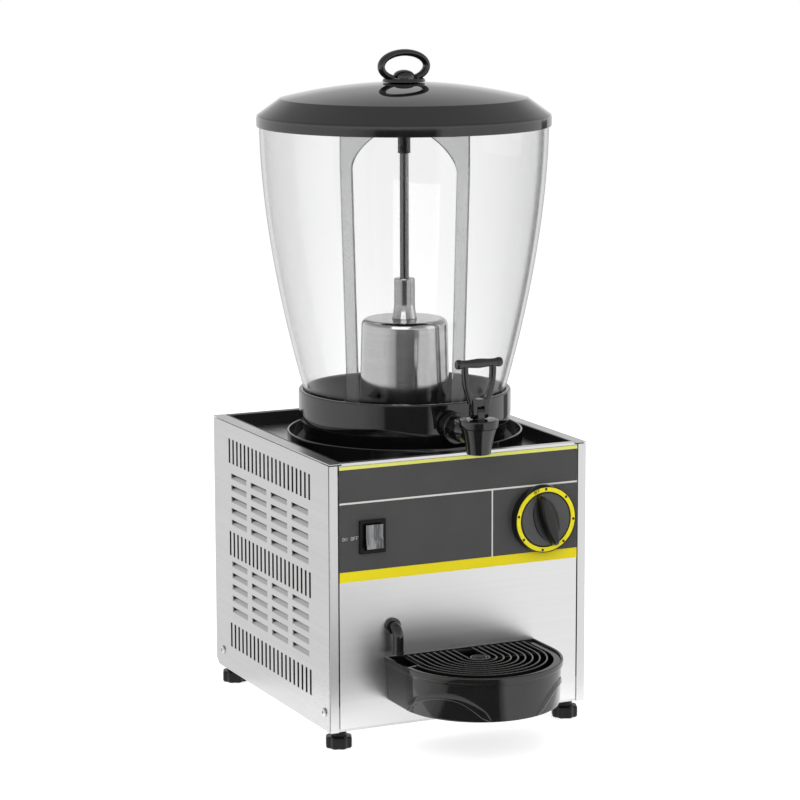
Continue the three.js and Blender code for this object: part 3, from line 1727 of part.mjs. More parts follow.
function assembleDrain(machine) {
  add(machine, 'drain_elbow', drainElbow(), blackPlastic).position.set(drainX, 0, elbowZ);
  add(machine, 'drain_hose', drainHose(), rubber).position.x = drainX;
  add(machine, 'drip_tray', dripTray(), blackPlastic);
  add(machine, 'drip_grid', dripGrid(), blackPlastic);
  const stud = trayStud();
  add(machine, 'left_tray_stud', stud, coolSteel).position.set(-studX, 0, studZ);
  add(machine, 'right_tray_stud', stud, coolSteel).position.set(studX, 0, studZ);
}

function assembleCooling(machine) {
  const shell = add(machine, 'compressor', compressor(), darkPaint);
  shell.position.set(compressorX, compressorY, onPan);
  add(machine, 'suction_pipe', suctionPipe(), coolSteel);
  add(machine, 'fan_motor', fanMotor(), darkPaint).position.set(0, fanY, fanZ);
  add(machine, 'fan_blade', fanBlade(), blackPlastic).position.set(0, fanY, fanZ);
  add(machine, 'fan_shroud', fanShroud(), coolSteel);
  add(machine, 'condenser', condenserBlock(), coolSteel);
  const drier = add(machine, 'filter_drier', filterDrier(), coolSteel);
  const drierY = fanY + condenserWidth / 2 + gap + drierRadius;
  drier.position.set(condenserX + condenserDepth / 2, drierY, onPan);
  add(machine, 'cord_gland', cordGland(), rubber).position.set(glandX, backPlateBack, glandZ);
}

function assembleBowl(machine) {
  const bowl = new THREE.Group();
  bowl.position.set(0, bowlAxisY, deckTop);
  machine.add(bowl);
  add(bowl, 'gearmotor', gearMotor(), darkPaint);
  add(bowl, 'drip_ring', dripRing(), blackPlastic);
  add(bowl, 'bowl_collar', bowlCollar(), blackPlastic);
  add(bowl, 'bowl', bowlBody(), clearPlastic);
  add(bowl, 'bowl_seal', bowlSeal(), rubber);
  add(bowl, 'cooling_dome', coolingDome(), coolSteel);
  add(bowl, 'neck_sleeve', neckSleeve(), blackPlastic).position.z = domeHeight;
  const stirrer = new THREE.Group();
  stirrer.rotation.z = stirrerTurn;
  bowl.add(stirrer);
  add(stirrer, 'drive_shaft', cylinder(shaftRadius, shaftBottom, shaftTop, pipeSides), coolSteel);
  add(stirrer, 'stirrer_hub', stirrerHub(), blackPlastic);
  add(stirrer, 'stirrer_frame', stirrerFrame(), clearPlastic);
  add(bowl, 'lid', lidShell(), blackPlastic);
  const handle = new THREE.Group();
  handle.position.z = lidTopZ(0);
  bowl.add(handle);
  add(handle, 'lid_handle', lidHandle(), blackPlastic);
  add(handle, 'handle_cap_screw', handleCapScrew(), blackPlastic);
}

function assembleTap(machine) {
  const tap = new THREE.Group();
  tap.position.set(0, tapY, tapZ);
  machine.add(tap);
  add(tap, 'tap_body', tapBody(), blackPlastic);
  add(tap, 'tap_bonnet', tapBonnet(), blackPlastic);
  add(tap, 'tap_plunger', tapPlunger(), greyPlastic);
  add(tap, 'tap_lever', tapLever(), blackPlastic).position.z = pinRise;
  add(tap, 'lever_pin', leverPin(), coolSteel).position.z = pinRise;
  add(tap, 'tap_nut', tailRing(nutRadius, nutFront, nutDepth), blackPlastic);
  const washerStart = nutFront + nutDepth + gap;
  add(tap, 'tap_washer', tailRing(washerRadius, washerStart, washerDepth), rubber);
  const wall = bowlAxisY - tapY - bowlFootRadius + bowlWall;
  add(tap, 'tap_inner_nut', tailRing(innerNutRadius, wall + innerNutGap, innerNutDepth), blackPlastic);
}

const dispenser = new THREE.Group();
const machine = new THREE.Group();
machine.position.set(0, machineY, footHeight);
dispenser.add(machine);
assembleCabinet(machine);
assembleControls(machine);
assembleDrain(machine);
assembleCooling(machine);
assembleBowl(machine);
assembleTap(machine);

export default dispenser;
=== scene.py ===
"""Looks of a counter dispenser for cold drinks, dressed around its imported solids.

The classes hold their sizes in millimetres in the machine's own frame: x to the right, y to the
back from the front sheet, z up from the underside of the cabinet. Meshes are made in metres in the
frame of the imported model.
"""
import json
import logging
import math
from collections.abc import Callable, Iterable, Sequence
from dataclasses import dataclass
from enum import Enum

import bmesh
import bpy
from mathutils import Matrix, Vector
from mathutils.geometry import tessellate_polygon

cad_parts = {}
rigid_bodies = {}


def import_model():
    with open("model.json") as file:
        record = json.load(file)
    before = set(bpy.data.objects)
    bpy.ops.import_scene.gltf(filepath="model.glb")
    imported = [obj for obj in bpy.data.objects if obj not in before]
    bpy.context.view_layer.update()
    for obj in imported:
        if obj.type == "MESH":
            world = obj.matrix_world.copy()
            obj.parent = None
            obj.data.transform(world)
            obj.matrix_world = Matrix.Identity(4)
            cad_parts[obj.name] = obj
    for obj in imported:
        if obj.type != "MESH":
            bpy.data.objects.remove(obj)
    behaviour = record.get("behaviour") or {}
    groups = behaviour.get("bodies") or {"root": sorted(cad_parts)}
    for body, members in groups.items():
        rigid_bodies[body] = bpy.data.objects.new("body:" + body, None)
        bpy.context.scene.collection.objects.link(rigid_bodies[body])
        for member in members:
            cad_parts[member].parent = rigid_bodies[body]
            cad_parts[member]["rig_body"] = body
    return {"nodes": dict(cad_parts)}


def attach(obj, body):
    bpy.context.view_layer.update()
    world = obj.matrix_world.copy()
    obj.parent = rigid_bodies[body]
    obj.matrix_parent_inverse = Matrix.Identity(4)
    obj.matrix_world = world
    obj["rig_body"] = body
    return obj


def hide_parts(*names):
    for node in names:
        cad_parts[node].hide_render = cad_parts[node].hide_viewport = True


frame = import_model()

LOG = logging.getLogger("dispenser")
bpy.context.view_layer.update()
MM = 0.001
MACHINE_Y = -88.25
FOOT_HEIGHT = 18.0
AXIS_Y = 127.0
DECK_TOP = 253.2
BOWL_FOOT = (0.0, AXIS_Y, DECK_TOP)
FULL_TURN = math.tau
QUARTER_TURN = math.pi / 2
TINY = 1e-6
WELD = 1e-4
NODE_WELD = 1e-6
FLAT_TURN = math.radians(1.0)
LEAST_TURN = 0.3
LONGEST_SHARE = 0.45
Point = tuple[float, float]
Colour = tuple[float, float, float]
Outline = Sequence[Point]


class Plane(Enum):
    """The plane that an outline lies in."""

    FLAT = "xy"
    FRONT = "xz"
    SIDE = "yz"


class Axis(Enum):
    """The direction that a turned piece stands along."""

    UP = "z"
    BACK = "y"
    RIGHT = "x"


def neutral(tone: float) -> Colour:
    """Returns a grey without a tint."""
    return (tone, tone, tone)


def shares(steps: int) -> list[float]:
    """Returns even shares from 0 to 1, both included."""
    return [step / steps for step in range(steps + 1)]


def arc(centre: Point, radii: Point, start: float, end: float, steps: int) -> list[Point]:
    """Points on an arc of an ellipse, both ends included.

    Args:
        centre: Middle of the ellipse.
        radii: Its two half widths.
        start: First angle, in radians.
        end: Last angle, in radians.
        steps: Number of spans.

    Returns:
        The points in order.
    """
    found = []
    for step in range(steps + 1):
        angle = start + (end - start) * step / steps
        found.append((centre[0] + radii[0] * math.cos(angle),
                      centre[1] + radii[1] * math.sin(angle)))
    return found


def rectangle(left: float, right: float, bottom: float, top: float) -> list[Point]:
    """Returns the four corners of a rectangle."""
    return [(left, bottom), (right, bottom), (right, top), (left, top)]


def oval(radii: Point, sides: int, centre: Point = (0, 0)) -> list[Point]:
    """Returns a closed ellipse of points."""
    return arc(centre, radii, 0.0, FULL_TURN, sides)[:-1]


def ring(centre: Point, radius: float, sides: int) -> list[Point]:
    """Returns a closed circle of points."""
    return oval((radius, radius), sides, centre)


def rounded(outline: Outline, radius: float, steps: int = 3) -> list[Point]:
    """Rounds the sharp corners of a closed outline.

    Args:
        outline: Corners in order.
        radius: Radius of the rounding, made smaller where the sides are short.
        steps: Spans of each rounding.

    Returns:
        The rounded outline.
    """
    found: list[Point] = []
    count = len(outline)
    for index, here in enumerate(outline):
        corner = Vector(here)
        before = Vector(outline[index - 1]) - corner
        after = Vector(outline[(index + 1) % count]) - corner
        if before.length < TINY or after.length < TINY:
            found.append(tuple(corner))
            continue
        turn = math.pi - before.angle(after)
        on_axis = abs(corner.x) < TINY and min(abs(before.x), abs(after.x)) < TINY
        if turn < LEAST_TURN or on_axis:
            found.append(tuple(corner))
            continue
        reach = min(radius * math.tan(turn / 2), LONGEST_SHARE * before.length,
                    LONGEST_SHARE * after.length)
        start = corner + before.normalized() * reach
        end = corner + after.normalized() * reach
        for part in shares(steps):
            found.append(tuple(start * (1 - part) ** 2 + corner * 2 * part * (1 - part)
                               + end * part**2))
    return found


class Shape:
    """A mesh in the making, in millimetres of the machine's own frame."""

    def __init__(self) -> None:
        """Starts with no faces."""
        self.mesh = bmesh.new()

    def _strip(self, rings: list[list[bmesh.types.BMVert]], wrap: bool) -> None:
        """Joins rings of equal length with quads.

        Args:
            rings: Rings of corners, in order.
            wrap: Whether the last ring joins the first.
        """
        total = len(rings)
        for index in range(total if wrap else total - 1):
            low, high = rings[index], rings[(index + 1) % total]
            count = len(low)
            for corner in range(count):
                nxt = (corner + 1) % count
                found = []
                for vertex in (low[corner], low[nxt], high[nxt], high[corner]):
                    if vertex not in found:
                        found.append(vertex)
                if len(found) > 2:
                    self.mesh.faces.new(found)

    def lathe(self, profile: Outline, sides: int = 96, at: Sequence[float] = (0, 0, 0),
              axis: Axis = Axis.UP) -> "Shape":
        """Adds a closed profile of radius and height turned about an axis.

        Args:
            profile: Closed outline of radius and height.
            sides: Number of sides.
            at: Foot of the axis.
            axis: Direction of the axis.

        Returns:
            The shape itself.
        """
        rings = []
        for radius, height in profile:
            if radius < TINY:
                rings.append([self.mesh.verts.new(self._turned(0, 0, height, at, axis))] * sides)
                continue
            made = []
            for side in range(sides):
                angle = FULL_TURN * side / sides
                made.append(self.mesh.verts.new(self._turned(
                    radius * math.cos(angle), radius * math.sin(angle), height, at, axis)))
            rings.append(made)
        open_ends = profile[0][0] < TINY and profile[-1][0] < TINY
        self._strip(rings, not open_ends)
        return self

    @staticmethod
    def _turned(x: float, y: float, z: float, at: Sequence[float], axis: Axis) -> Vector:
        """Returns a point of a turned piece, with its own z along the axis."""
        if axis is Axis.BACK:
            x, y, z = x, z, -y
        elif axis is Axis.RIGHT:
            x, y, z = z, y, -x
        return Vector((x + at[0], y + at[1], z + at[2]))

    @staticmethod
    def _placed(point: Point, depth: float, plane: Plane) -> Vector:
        """Returns a point of an outline at a depth across its plane."""
        if plane is Plane.FLAT:
            return Vector((point[0], point[1], depth))
        if plane is Plane.FRONT:
            return Vector((point[0], depth, point[1]))
        return Vector((depth, point[0], point[1]))

    def slab(self, outline: Outline, start: float, depth: float, plane: Plane = Plane.FLAT,
             holes: Sequence[Outline] = (), at: Sequence[float] = (0, 0, 0)) -> "Shape":
        """Adds an outline with holes, given a thickness.

        Args:
            outline: Outer corners in order.
            start: Where the slab starts across its plane.
            depth: Its thickness.
            plane: The plane of the outline.
            holes: Outlines of the openings.
            at: Shift of the whole.

        Returns:
            The shape itself.
        """
        loops = [outline, *holes]
        shift = Vector(at)
        sides = []
        for level in (start, start + depth):
            sides.append([[self.mesh.verts.new(self._placed(p, level, plane) + shift) for p in loop]
                          for loop in loops])
        faces = tessellate_polygon([[Vector((p[0], p[1], 0)) for p in loop] for loop in loops])
        for side in sides:
            flat = [vertex for loop in side for vertex in loop]
            for triple in faces:
                self.mesh.faces.new([flat[index] for index in triple])
        for low, high in zip(*sides):
            count = len(low)
            for corner in range(count):
                nxt = (corner + 1) % count
                self.mesh.faces.new([low[corner], low[nxt], high[nxt], high[corner]])
        return self

    def loft(self, rings: Sequence[tuple[Outline, float]], at: Sequence[float] = (0, 0, 0),
             plane: Plane = Plane.FLAT) -> "Shape":
        """Adds outlines of equal count joined in turn, with a cap on each end.

        Args:
            rings: Outlines, each with its height.
            at: Shift of the whole.
            plane: The plane of the outlines.

        Returns:
            The shape itself.
        """
        shift = Vector(at)
        made = [[self.mesh.verts.new(self._placed(p, height, plane) + shift) for p in outline]
                for outline, height in rings]
        self._strip(made, False)
        for ends, (outline, _) in ((made[0], rings[0]), (made[-1], rings[-1])):
            for triple in tessellate_polygon([[Vector((p[0], p[1], 0)) for p in outline]]):
                self.mesh.faces.new([ends[index] for index in triple])
        return self

    def pipe(self, path: Sequence[Vector], sections: Sequence[Outline]) -> "Shape":
        """Adds a section carried along a path.

        Args:
            path: Points of the middle line.
            sections: One section for each point, or one for all.

        Returns:
            The shape itself.
        """
        last = len(path) - 1
        normal = None
        rings = []
        for index, here in enumerate(path):
            along = (path[min(index + 1, last)] - path[max(index - 1, 0)]).normalized()
            if normal is None:
                trial = Vector((0, 0, 1)) if abs(along.z) < 0.9 else Vector((1, 0, 0))
                normal = trial.cross(along).normalized()
            normal = (normal - along * normal.dot(along)).normalized()
            across = along.cross(normal)
            section = sections[index % len(sections)]
            rings.append([self.mesh.verts.new(here + normal * p[0] + across * p[1])
                          for p in section])
        self._strip(rings, False)
        self.mesh.faces.new(rings[0])
        self.mesh.faces.new(rings[-1])
        return self

    def turn(self, angle: float, axis: str, at: Sequence[float]) -> "Shape":
        """Turns everything added so far about a line through a point."""
        bmesh.ops.rotate(self.mesh, verts=self.mesh.verts[:], cent=Vector(at),
                         matrix=Matrix.Rotation(angle, 3, axis))
        return self

    def shift(self, x: float, y: float, z: float) -> "Shape":
        """Moves everything added so far."""
        bmesh.ops.translate(self.mesh, verts=self.mesh.verts[:], vec=(x, y, z))
        return self

    def done(self, name: str) -> bpy.types.Mesh:
        """Closes the shape and moves it to its place in metres.

        Args:
            name: Name of the mesh.

        Returns:
            The mesh, with its faces pointing outwards.
        """
        bmesh.ops.remove_doubles(self.mesh, verts=self.mesh.verts[:], dist=WELD)
        bmesh.ops.recalc_face_normals(self.mesh, faces=self.mesh.faces[:])
        for vertex in self.mesh.verts:
            x, y, z = vertex.co
            vertex.co = Vector((x, y + MACHINE_Y, z + FOOT_HEIGHT)) * MM
        mesh = bpy.data.meshes.new(name)
        self.mesh.to_mesh(mesh)
        self.mesh.free()
        return mesh


class Graph:
    """Adds and joins the nodes of one tree."""

    def __init__(self, tree: bpy.types.NodeTree) -> None:
        """Keeps the tree."""
        self.tree = tree

    def add(self, kind: str, inputs: dict | None = None, **values: object) -> bpy.types.Node:
        """Adds a node.

        Args:
            kind: Type of the node.
            inputs: Sockets by name or number, each with a value or another node's socket.
            **values: Properties of the node.

        Returns:
            The node.
        """
        node = self.tree.nodes.new(kind)
        for key, value in values.items():
            setattr(node, key, value)
        for key, value in (inputs or {}).items():
            if isinstance(value, bpy.types.NodeSocket):
                self.tree.links.new(value, node.inputs[key])
            else:
                node.inputs[key].default_value = value
        return node

    def maths(self, operation: str, *values: object) -> bpy.types.NodeSocket:
        """Adds a Math node and returns its output."""
        return self.add("ShaderNodeMath", dict(enumerate(values)), operation=operation).outputs[0]

    def mix(self, factor: object, first: object, second: object) -> bpy.types.NodeSocket:
        """Mixes two colours.

        Args:
            factor: Share of the second colour.
            first: First colour or socket.
            second: Second colour or socket.

        Returns:
            The socket of the mixed colour.
        """
        node = self.add("ShaderNodeMix", data_type="RGBA")
        for socket, value in zip((node.inputs[0], node.inputs[6], node.inputs[7]),
                                 (factor, first, second)):
            if isinstance(value, bpy.types.NodeSocket):
                self.tree.links.new(value, socket)
            else:
                socket.default_value = value if isinstance(value, float) else (*value[:3], 1.0)
        return node.outputs[2]

    def ramp(self, factor: bpy.types.NodeSocket,
             stops: Sequence[tuple[float, Colour]]) -> bpy.types.NodeSocket:
        """Adds a colour ramp.

        Args:
            factor: What the ramp reads.
            stops: Places and their colours.

        Returns:
            The socket of the colour.
        """
        node = self.add("ShaderNodeValToRGB", {0: factor})
        node.color_ramp.interpolation = "EASE"
        elements = node.color_ramp.elements
        for place, colour in stops[2:]:
            elements.new(place)
        for element, (place, colour) in zip(elements, sorted(stops, key=lambda stop: stop[0])):
            element.position = place
            element.color = (*colour, 1.0)
        return node.outputs[0]


class Effects:
    """Shader groups that several finishes share."""

    def __init__(self) -> None:
        """Builds each group once."""
        self.brush = self._brush()
        self.skin = self._skin()
        self.marks = self._marks()

    @staticmethod
    def _start(name: str, inputs: Sequence[tuple[str, str]],
               outputs: Sequence[tuple[str, str]]) -> tuple[Graph, bpy.types.Node, bpy.types.Node]:
        """Makes an empty group.

        Args:
            name: Name of the group.
            inputs: Names and kinds of the inputs.
            outputs: Names and kinds of the outputs.

        Returns:
            Its graph, input node and output node.
        """
        tree = bpy.data.node_groups.new(name, "ShaderNodeTree")
        for label, kind in inputs:
            tree.interface.new_socket(label, in_out="INPUT", socket_type=kind)
        for label, kind in outputs:
            tree.interface.new_socket(label, in_out="OUTPUT", socket_type=kind)
        graph = Graph(tree)
        return graph, graph.add("NodeGroupInput"), graph.add("NodeGroupOutput")

    def _brush(self) -> bpy.types.NodeTree:
        """Builds the fine parallel scratches of satin steel.

        Returns:
            The group, which puts out a shade and a height.
        """
        graph, given, found = self._start(
            "brushed_lines", [("Vector", "NodeSocketVector"), ("Stretch", "NodeSocketVector")],
            [("Shade", "NodeSocketFloat"), ("Height", "NodeSocketFloat")])
        scaled = graph.add("ShaderNodeVectorMath", {0: given.outputs[0], 1: given.outputs[1]},
                           operation="MULTIPLY").outputs[0]
        fine = graph.add("ShaderNodeTexNoise", {"Vector": scaled, "Scale": 1.0, "Detail": 3.0,
                                                "Roughness": 0.7}).outputs[0]
        broad = graph.add("ShaderNodeTexNoise", {"Vector": scaled, "Scale": 0.13,
                                                 "Detail": 2.0}).outputs[0]
        both = graph.maths("MULTIPLY_ADD", broad, 0.6, graph.maths("MULTIPLY", fine, 0.4))
        graph.tree.links.new(both, found.inputs[0])
        graph.tree.links.new(fine, found.inputs[1])
        return graph.tree

    def _skin(self) -> bpy.types.NodeTree:
        """Builds the fine skin of moulded plastic.

        Returns:
            The group, which puts out a tone and a height.
        """
        graph, given, found = self._start(
            "moulded_skin", [("Vector", "NodeSocketVector"), ("Scale", "NodeSocketFloat")],
            [("Tone", "NodeSocketFloat"), ("Height", "NodeSocketFloat")])
        cells = graph.add("ShaderNodeTexVoronoi",
                          {"Vector": given.outputs[0], "Scale": given.outputs[1]},
                          feature="SMOOTH_F1")
        cloud = graph.add("ShaderNodeTexNoise",
                          {"Vector": given.outputs[0], "Scale": 38.0, "Detail": 4.0})
        grain = graph.add("ShaderNodeTexNoise",
                          {"Vector": given.outputs[0], "Scale": given.outputs[1], "Detail": 2.0})
        height = graph.maths("MULTIPLY_ADD", cells.outputs[0], 0.5, grain.outputs[0])
        graph.tree.links.new(cloud.outputs[0], found.inputs[0])
        graph.tree.links.new(height, found.inputs[1])
        return graph.tree

    def _marks(self) -> bpy.types.NodeTree:
        """Builds the soft marks that hands and cloths leave.

        Returns:
            The group, which puts out a mask.
        """
        graph, given, found = self._start(
            "handling_marks", [("Vector", "NodeSocketVector"), ("Scale", "NodeSocketFloat")],
            [("Mask", "NodeSocketFloat")])
        cloud = graph.add("ShaderNodeTexNoise",
                          {"Vector": given.outputs[0], "Scale": given.outputs[1], "Detail": 5.0,
                           "Roughness": 0.6, "Distortion": 0.4})
        mask = graph.add("ShaderNodeMapRange", {0: cloud.outputs[0], 1: 0.35, 2: 0.7})
        graph.tree.links.new(mask.outputs[0], found.inputs[0])
        return graph.tree


class Paint:
    """One material in the making: its principled shader, its object coordinates and its graph."""

    def __init__(self, name: str) -> None:
        """Makes an empty material.

        Args:
            name: Name of the material.
        """
        self.material = bpy.data.materials.new(name)
        self.material.use_nodes = True
        self.graph = Graph(self.material.node_tree)
        self.shader = self.material.node_tree.nodes["Principled BSDF"]
        self.place = self.graph.add("ShaderNodeTexCoord").outputs["Object"]

    def group(self, tree: bpy.types.NodeTree, **inputs: object) -> bpy.types.Node:
        """Places a shared group that reads object coordinates.

        Args:
            tree: The group.
            **inputs: Its other inputs by name.

        Returns:
            The node.
        """
        node = self.graph.add("ShaderNodeGroup")
        node.node_tree = tree
        self.graph.tree.links.new(self.place, node.inputs["Vector"])
        for key, value in inputs.items():
            node.inputs[key].default_value = value
        return node

    def set(self, name: str, value: object) -> None:
        """Sets or joins an input of the shader."""
        if isinstance(value, bpy.types.NodeSocket):
            self.graph.tree.links.new(value, self.shader.inputs[name])
        else:
            self.shader.inputs[name].default_value = value

    def spread(self, mask: bpy.types.NodeSocket, low: float, high: float) -> bpy.types.NodeSocket:
        """Returns a mask carried to the range from low to high."""
        return self.graph.add("ShaderNodeMapRange", {0: mask, 3: low, 4: high}).outputs[0]

    def bump(self, height: bpy.types.NodeSocket, strength: float, distance: float) -> None:
        """Gives the shader a bump.

        Args:
            height: Height over the surface.
            strength: Strength of the bump.
            distance: Its depth in metres.
        """
        node = self.graph.add("ShaderNodeBump",
                              {"Strength": strength, "Distance": distance, "Height": height})
        self.set("Normal", node.outputs[0])


@dataclass(frozen=True)
class SteelFinish:
    """Satin or bright steel with parallel brush lines."""

    name: str
    colour: Colour
    dark: Colour
    roughness: tuple[float, float]
    stretch: tuple[float, float, float]
    bump: float
    wipes: float = 9.0
    wipe_depth: float = 0.05
    depth: float = 0.00002

    def make(self, effects: Effects) -> bpy.types.Material:
        """Builds the material.

        Args:
            effects: The shared groups.

        Returns:
            The material.
        """
        paint = Paint(self.name)
        lines = paint.group(effects.brush, Stretch=self.stretch)
        marks = paint.group(effects.marks, Scale=self.wipes)
        paint.set("Base Color", paint.graph.mix(lines.outputs[0], self.dark, self.colour))
        paint.set("Metallic", 1.0)
        paint.set("Roughness", paint.graph.maths("MULTIPLY_ADD", marks.outputs[0], self.wipe_depth,
                                                 paint.spread(lines.outputs[0], *self.roughness)))
        paint.bump(lines.outputs[1], self.bump, self.depth)
        return paint.material


@dataclass(frozen=True)
class PlasticFinish:
    """Moulded plastic, rubber or paint with a fine skin."""

    name: str
    colour: Colour
    light: Colour
    roughness: tuple[float, float]
    grain: float
    bump: float
    specular: float = 0.5
    wipes: float = 14.0
    depth: float = 0.00004

    def make(self, effects: Effects) -> bpy.types.Material:
        """Builds the material.

        Args:
            effects: The shared groups.

        Returns:
            The material.
        """
        paint = Paint(self.name)
        skin = paint.group(effects.skin, Scale=self.grain)
        marks = paint.group(effects.marks, Scale=self.wipes)
        paint.set("Base Color", paint.graph.mix(skin.outputs[0], self.colour, self.light))
        paint.set("Roughness", paint.spread(marks.outputs[0], *self.roughness))
        paint.set("Specular IOR Level", self.specular)
        paint.bump(skin.outputs[1], self.bump, self.depth)
        return paint.material


@dataclass(frozen=True)
class ClearFinish:
    """Clear moulded plastic, with painted shade that turns its edges grey at grazing angles."""

    name: str
    clear: Colour
    # edge: colour of the painted shade along the contour, where the surface is seen at a grazing
    # angle
    edge: Colour
    ior: float
    roughness: tuple[float, float] = (0.0, 0.03)
    blend: float = 0.25
    haze: float = 0.0
    wipes: float = 11.0

    def make(self, effects: Effects) -> bpy.types.Material:
        """Builds the material.

        Args:
            effects: The shared groups.

        Returns:
            The material.
        """
        paint = Paint(self.name)
        # Painted shade: the facing share of the Layer Weight mixes the clear colour towards the
        # edge grey at grazing angles
        facing = paint.graph.add("ShaderNodeLayerWeight", {"Blend": self.blend}).outputs["Facing"]
        marks = paint.group(effects.marks, Scale=self.wipes)
        paint.set("Base Color", paint.graph.mix(facing, self.clear, self.edge))
        paint.set("Transmission Weight", 1.0 - self.haze)
        paint.set("IOR", self.ior)
        paint.set("Roughness", paint.spread(marks.outputs[0], *self.roughness))
        return paint.material


@dataclass(frozen=True)
class FilmFinish:
    """Printed film: dark grey with yellow bands and pale hairlines, by height and side."""

    name: str
    grey: Colour = neutral(0.056)
    yellow: Colour = (0.95, 0.80, 0.002)
    light: Colour = (0.86, 0.86, 0.20)
    pale: Colour = (0.76, 0.76, 0.72)
    band: tuple[float, float] = (149.5, 159.7)
    top_line: tuple[float, float] = (260.5, 263.9)
    rule: tuple[float, float] = (226.4, 228.2)
    divider: tuple[float, float] = (34.2, 35.7)
    roughness: tuple[float, float] = (0.3, 0.42)
    specular: float = 0.35
    grain: float = 1600.0
    grain_light: float = 1.25
    wipes: float = 16.0
    bump: float = 0.08
    depth: float = 0.00003

    def make(self, effects: Effects) -> bpy.types.Material:
        """Builds the material.

        Args:
            effects: The shared groups.

        Returns:
            The material.
        """
        paint = Paint(self.name)
        graph = paint.graph
        split = graph.add("ShaderNodeSeparateXYZ", {0: paint.place})
        height, across = split.outputs[2], split.outputs[0]

        def within(value: bpy.types.NodeSocket, low: float, high: float,
                   shift: float = FOOT_HEIGHT) -> bpy.types.NodeSocket:
            """Returns 1 where a coordinate lies between two lengths."""
            above = graph.maths("GREATER_THAN", value, (low + shift) * MM)
            below = graph.maths("LESS_THAN", value, (high + shift) * MM)
            return graph.maths("MULTIPLY", above, below)

        skin = paint.group(effects.skin, Scale=self.grain)
        marks = paint.group(effects.marks, Scale=self.wipes)
        tone = graph.mix(skin.outputs[0], self.grey, tuple(c * self.grain_light for c in self.grey))
        low = within(height, self.band[1], self.rule[0])
        upright = graph.maths("MULTIPLY", within(across, *self.divider, 0.0), low)
        lines = graph.maths("MAXIMUM", within(height, *self.rule), upright)
        colour = graph.mix(lines, tone, self.pale)
        colour = graph.mix(within(height, *self.top_line), colour, self.light)
        paint.set("Base Color", graph.mix(within(height, *self.band), colour, self.yellow))
        paint.set("Specular IOR Level", self.specular)
        paint.set("Roughness", paint.spread(marks.outputs[0], *self.roughness))
        paint.bump(skin.outputs[1], self.bump, self.depth)
        return paint.material


@dataclass(frozen=True)
class LensFinish:
    """Smoky lens of the rocker with upright streaks inside."""

    name: str
    dark: Colour = (0.05, 0.05, 0.052)
    light: Colour = (0.30, 0.305, 0.31)
    sides: Colour = neutral(0.004)
    stretch: tuple[float, float, float] = (700.0, 700.0, 14.0)
    streaks: tuple[float, float] = (0.40, 0.58)
    front: float = -0.8
    roughness: tuple[float, float] = (0.08, 0.2)
    coat: float = 0.6
    coat_roughness: float = 0.03
    bump: float = 0.2
    depth: float = 0.0001

    def make(self, effects: Effects) -> bpy.types.Material:
        """Builds the material.

        Args:
            effects: The shared groups.

        Returns:
            The material.
        """
        paint = Paint(self.name)
        lines = paint.group(effects.brush, Stretch=self.stretch)
        streaks = paint.graph.ramp(lines.outputs[0],
                                   list(zip(self.streaks, (self.dark, self.light))))
        normal = paint.graph.add("ShaderNodeTexCoord").outputs["Normal"]
        split = paint.graph.add("ShaderNodeSeparateXYZ", {0: normal})
        front = paint.graph.maths("LESS_THAN", split.outputs[1], self.front)
        paint.set("Base Color", paint.graph.mix(front, self.sides, streaks))
        paint.set("Roughness", paint.spread(lines.outputs[0], *self.roughness))
        paint.set("Coat Weight", self.coat)
        paint.set("Coat Roughness", self.coat_roughness)
        paint.bump(lines.outputs[1], self.bump, self.depth)
        return paint.material


